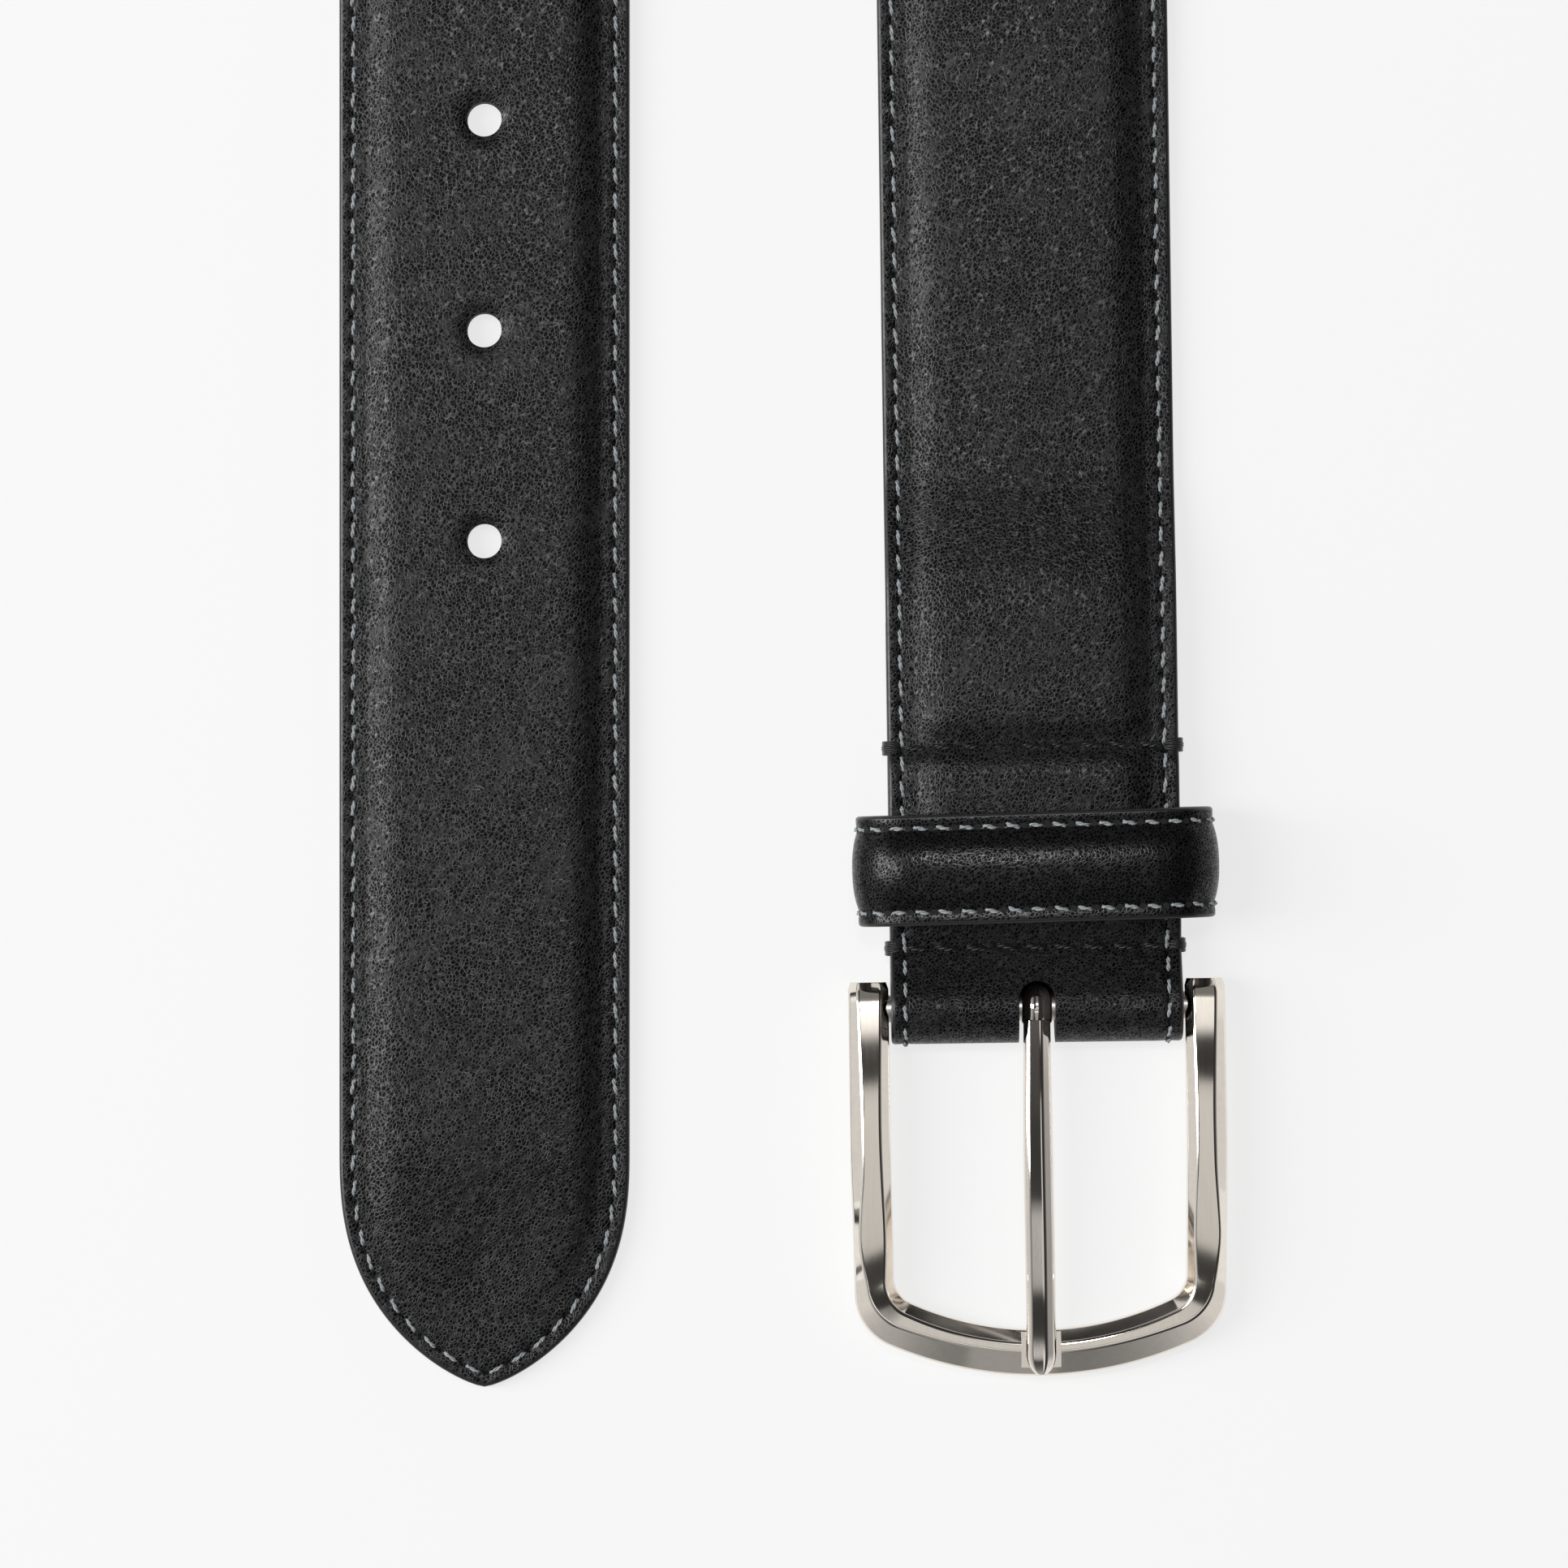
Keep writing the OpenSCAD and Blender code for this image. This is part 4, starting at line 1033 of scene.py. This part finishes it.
# The notch in the front where the prong rests
NOTCH_HALF = 2.4
NOTCH_LOW = 3.9
corners = [[-NOTCH_HALF, -50], [NOTCH_HALF, -50], [NOTCH_HALF, -36.0], [-NOTCH_HALF, -36.0]]
notch = np.array([[x, y, z] for z in (NOTCH_LOW, 12) for x, y in corners]) + [BAR[0], BAR[1], 0]
notch_faces = [[i, (i + 1) % 4, 4 + (i + 1) % 4, 4 + i] for i in range(4)] + [[3, 2, 1, 0], [4, 5, 6, 7]]
boolean(frame_obj, made("cutter", notch, notch_faces, [BRUSHED, POLISHED], [1] * 6), "DIFFERENCE")
finish(frame_obj, "buckle", ["buckle_frame"])

# ---- Prong ----

hub_w = 3.6
HUB_R = 3.2
HUB_ROUND = 2.2      # radius of the hub's crowned profile
HUB_SINK = 0.3


def hub_radius(x):
    return HUB_R - HUB_ROUND + np.sqrt(HUB_ROUND ** 2 - x * x) - HUB_SINK


n_hub = 40
profile = [[0.02, -hub_w / 2]]
for x in np.linspace(-hub_w / 2, hub_w / 2, 17):
    end = 1 - 0.06 * (abs(x) / (hub_w / 2)) ** 4
    profile.append([float(hub_radius(x)) * end, x])
profile.append([0.02, hub_w / 2])
rings = []
for a in np.linspace(0, 2 * math.pi, n_hub, endpoint=False):
    rings.append([[x, r * math.cos(a), r * math.sin(a)] for r, x in profile])
rings = np.array(rings) + BAR
hub = made("prong_body", rings.reshape(-1, 3), loft_faces(n_hub, len(profile), False, False, True)[0],
           [MIRROR], sharp=50)
merge_close(hub, 0.06)


def blade_top(y):
    return 7.5 - 0.0026 * (y + 18) ** 2


rings = []
NOSE_FROM = -41.5
NOSE_LEN = 2.8
PRONG_END = -44.3
nose_ys = PRONG_END + NOSE_LEN * (1 - np.sin(np.linspace(0, math.pi / 2, 14)))[1:]
ys = np.concatenate([np.linspace(-1.6, NOSE_FROM, 70), nose_ys])
for y in ys:
    top = float(blade_top(y))
    t = mix(2.3, 1.9, float(smooth(-y / FRAME_FRONT)))
    w = 1.8 * mix(0.9, 1.0, float(smooth(-y / 20)))
    nose = max(0.0, (-y + NOSE_FROM) / NOSE_LEN)
    w *= math.sqrt(max(0.0, 1 - nose ** 2.2)) * 0.98 + 0.02
    t *= math.sqrt(max(0.0, 1 - nose ** 3)) * 0.9 + 0.1
    bow = 0.25 * math.exp(-((y + 16) / 12) ** 2)
    prof = np.array([[-1.0, -t], [-1.0, -1.05], [-0.9, -0.52], [-0.68, -0.22], [0.20, 0.03], [0.38, -0.02],
                     [0.88, -0.62], [1.0, -1.1], [1.0, -t]])
    prof[:, 0] *= w
    prof[1:8, 1] = np.maximum(prof[1:8, 1], -t * 0.9)
    prof = fillet(prof, [0.25, 0.3, 0.3, 0.35, 0.3, 0.35, 0.3, 0.3, 0.25])
    rings.append([[BAR[0] + q[0] - bow * 0.4, BAR[1] + y, top + q[1]] for q in prof])
rings = np.array(rings)
blade_faces = loft_faces(len(rings), rings.shape[1], True, True)[0]
blade = made("cutter", rings.reshape(-1, 3), blade_faces, [MIRROR])
merge_close(blade, 0.0005)
boolean(hub, blade, "UNION")
finish(hub, "prong", ["prong"])

for node in ("buckle_bar", "keeper_staple"):
    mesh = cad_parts[node].data
    mesh.materials.clear()
    mesh.materials.append(STEEL)

# ---- Floor, light and camera ----

# The middle of what the camera sees, and how high the camera is
view_x, view_y = BAR[0] - 30.0, BAR[1] + 27.2
CAMERA_UP = 0.9
HALF_SEEN = 0.094335     # half the width seen at the height of the leather, in metres
LEATHER_UP = 0.004


def plane(name, size, place):
    points = np.array([[x, y, 0.0] for x, y in ((-1, -1), (1, -1), (1, 1), (-1, 1))]) * size
    mesh = bpy.data.meshes.new(name)
    mesh.from_pydata(points.tolist(), [], [[0, 1, 2, 3]])
    obj = bpy.data.objects.new(name, mesh)
    bpy.context.scene.collection.objects.link(obj)
    obj.location = place
    return obj


floor_obj = plane("floor", 6.0, (0, 0, -0.0001))
paper = Surface("floor_paper")
paper.set(Base_Color=(0.2, 0.2, 0.2, 1), Roughness=0.9, Specular_IOR_Level=0.1,
          Emission_Color=(1, 1, 1, 1), Emission_Strength=0.74)
floor_obj.data.materials.append(paper.material)

# The studio: pale walls low down, dark above, and overhead a strip of panels that runs
# from front to back, with dark gaps in it and wider at the front
world = bpy.data.worlds.new("studio")
bpy.context.scene.world = world
world.use_nodes = True
sky = Tree(world.node_tree)
aim = sky.node("SeparateXYZ", {"Vector": sky.node("TexCoord").outputs["Generated"]})
aim_x, aim_y, aim_z = aim.outputs
pitch = sky.math("DIVIDE", aim_y, sky.math("MAXIMUM", aim_z, 0.05))


def ramp(value, stops):
    n = sky.node("ValToRGB", {"Fac": value})
    n.color_ramp.interpolation = "LINEAR"
    while len(n.color_ramp.elements) < len(stops):
        n.color_ramp.elements.new(0.5)
    for element, (where, level) in zip(n.color_ramp.elements, stops):
        element.position = where
        element.color = (level, level, level, 1)
    return n.outputs["Color"]


# pitch runs from -0.6 at the front to 0.6 at the back; a stop is its place in that range
panels = ramp(sky.span(pitch, -0.6, 0.6, 0.0, 1.0), [
    (0.0, 0.35), (0.19, 1.1), (0.222, 0.9), (0.236, 0.02), (0.288, 0.02), (0.302, 0.62), (0.50, 0.70),
    (0.522, 0.62), (0.533, 0.02), (0.586, 0.02), (0.602, 1.0), (0.72, 0.95), (0.85, 0.3), (1.0, 0.2)])
tilt_x = sky.math("DIVIDE", aim_x, sky.math("MAXIMUM", aim_z, 0.05))
strip = ramp(sky.span(tilt_x, -0.4, 0.4, 0.0, 1.0), [
    (0.0, 0.0), (0.33, 0.0), (0.39, 1.0), (0.68, 1.0), (0.76, 0.0), (1.0, 0.0)])
wide_strip = ramp(sky.span(tilt_x, -0.4, 0.4, 0.0, 1.0), [
    (0.0, 0.0), (0.10, 0.0), (0.15, 1.0), (0.68, 1.0), (0.76, 0.0), (1.0, 0.0)])
strip = sky.blend(sky.span(pitch, -0.14, -0.11, 1.0, 0.0), strip, wide_strip)
sides = ramp(sky.span(aim_x, -1.0, 1.0, 0.0, 1.0), [
    (0.0, 0.75), (0.12, 0.6), (0.27, 0.3), (0.36, 0.04), (0.75, 0.03), (0.9, 0.1), (1.0, 0.5)])
walls = sky.span(aim_z, 0.22, 0.4, 0.75, 0.0)
level = sky.math("MAXIMUM", sky.math("MULTIPLY", panels, strip), sky.math("MAXIMUM", sides, walls))
ground = sky.tree.nodes["Background"]
sky.put(ground.inputs["Color"], level)
ground.inputs["Strength"].default_value = 1.0


def area(name, place, target, power, size_x, size_y):
    data = bpy.data.lights.new(name, "AREA")
    data.energy, data.shape, data.size, data.size_y = power, "RECTANGLE", size_x, size_y
    obj = bpy.data.objects.new(name, data)
    bpy.context.scene.collection.objects.link(obj)
    obj.location = place
    obj.rotation_euler = (Vector(target) - Vector(place)).to_track_quat("-Z", "Y").to_euler()
    obj.visible_camera = False


at = Vector((view_x * MM, view_y * MM, 0))
area("key", at + Vector((-1.0, 0.1, 1.0)), at, 17.0, 0.42, 1.3)
area("spot", at + Vector((-0.01, 0.26, 1.25)), at, 2.3, 0.16, 0.13)
bpy.context.scene.view_settings.view_transform = "Standard"

camera_data = bpy.data.cameras.new("camera")
camera = bpy.data.objects.new("camera", camera_data)
bpy.context.scene.collection.objects.link(camera)
camera.location = (view_x * MM, view_y * MM, CAMERA_UP)
camera.rotation_euler = (0, 0, -LEAN)
camera_data.sensor_width = 36
camera_data.angle = 2 * math.atan(HALF_SEEN / (CAMERA_UP - LEATHER_UP))
camera_data.clip_start = 0.05
bpy.context.scene.camera = camera
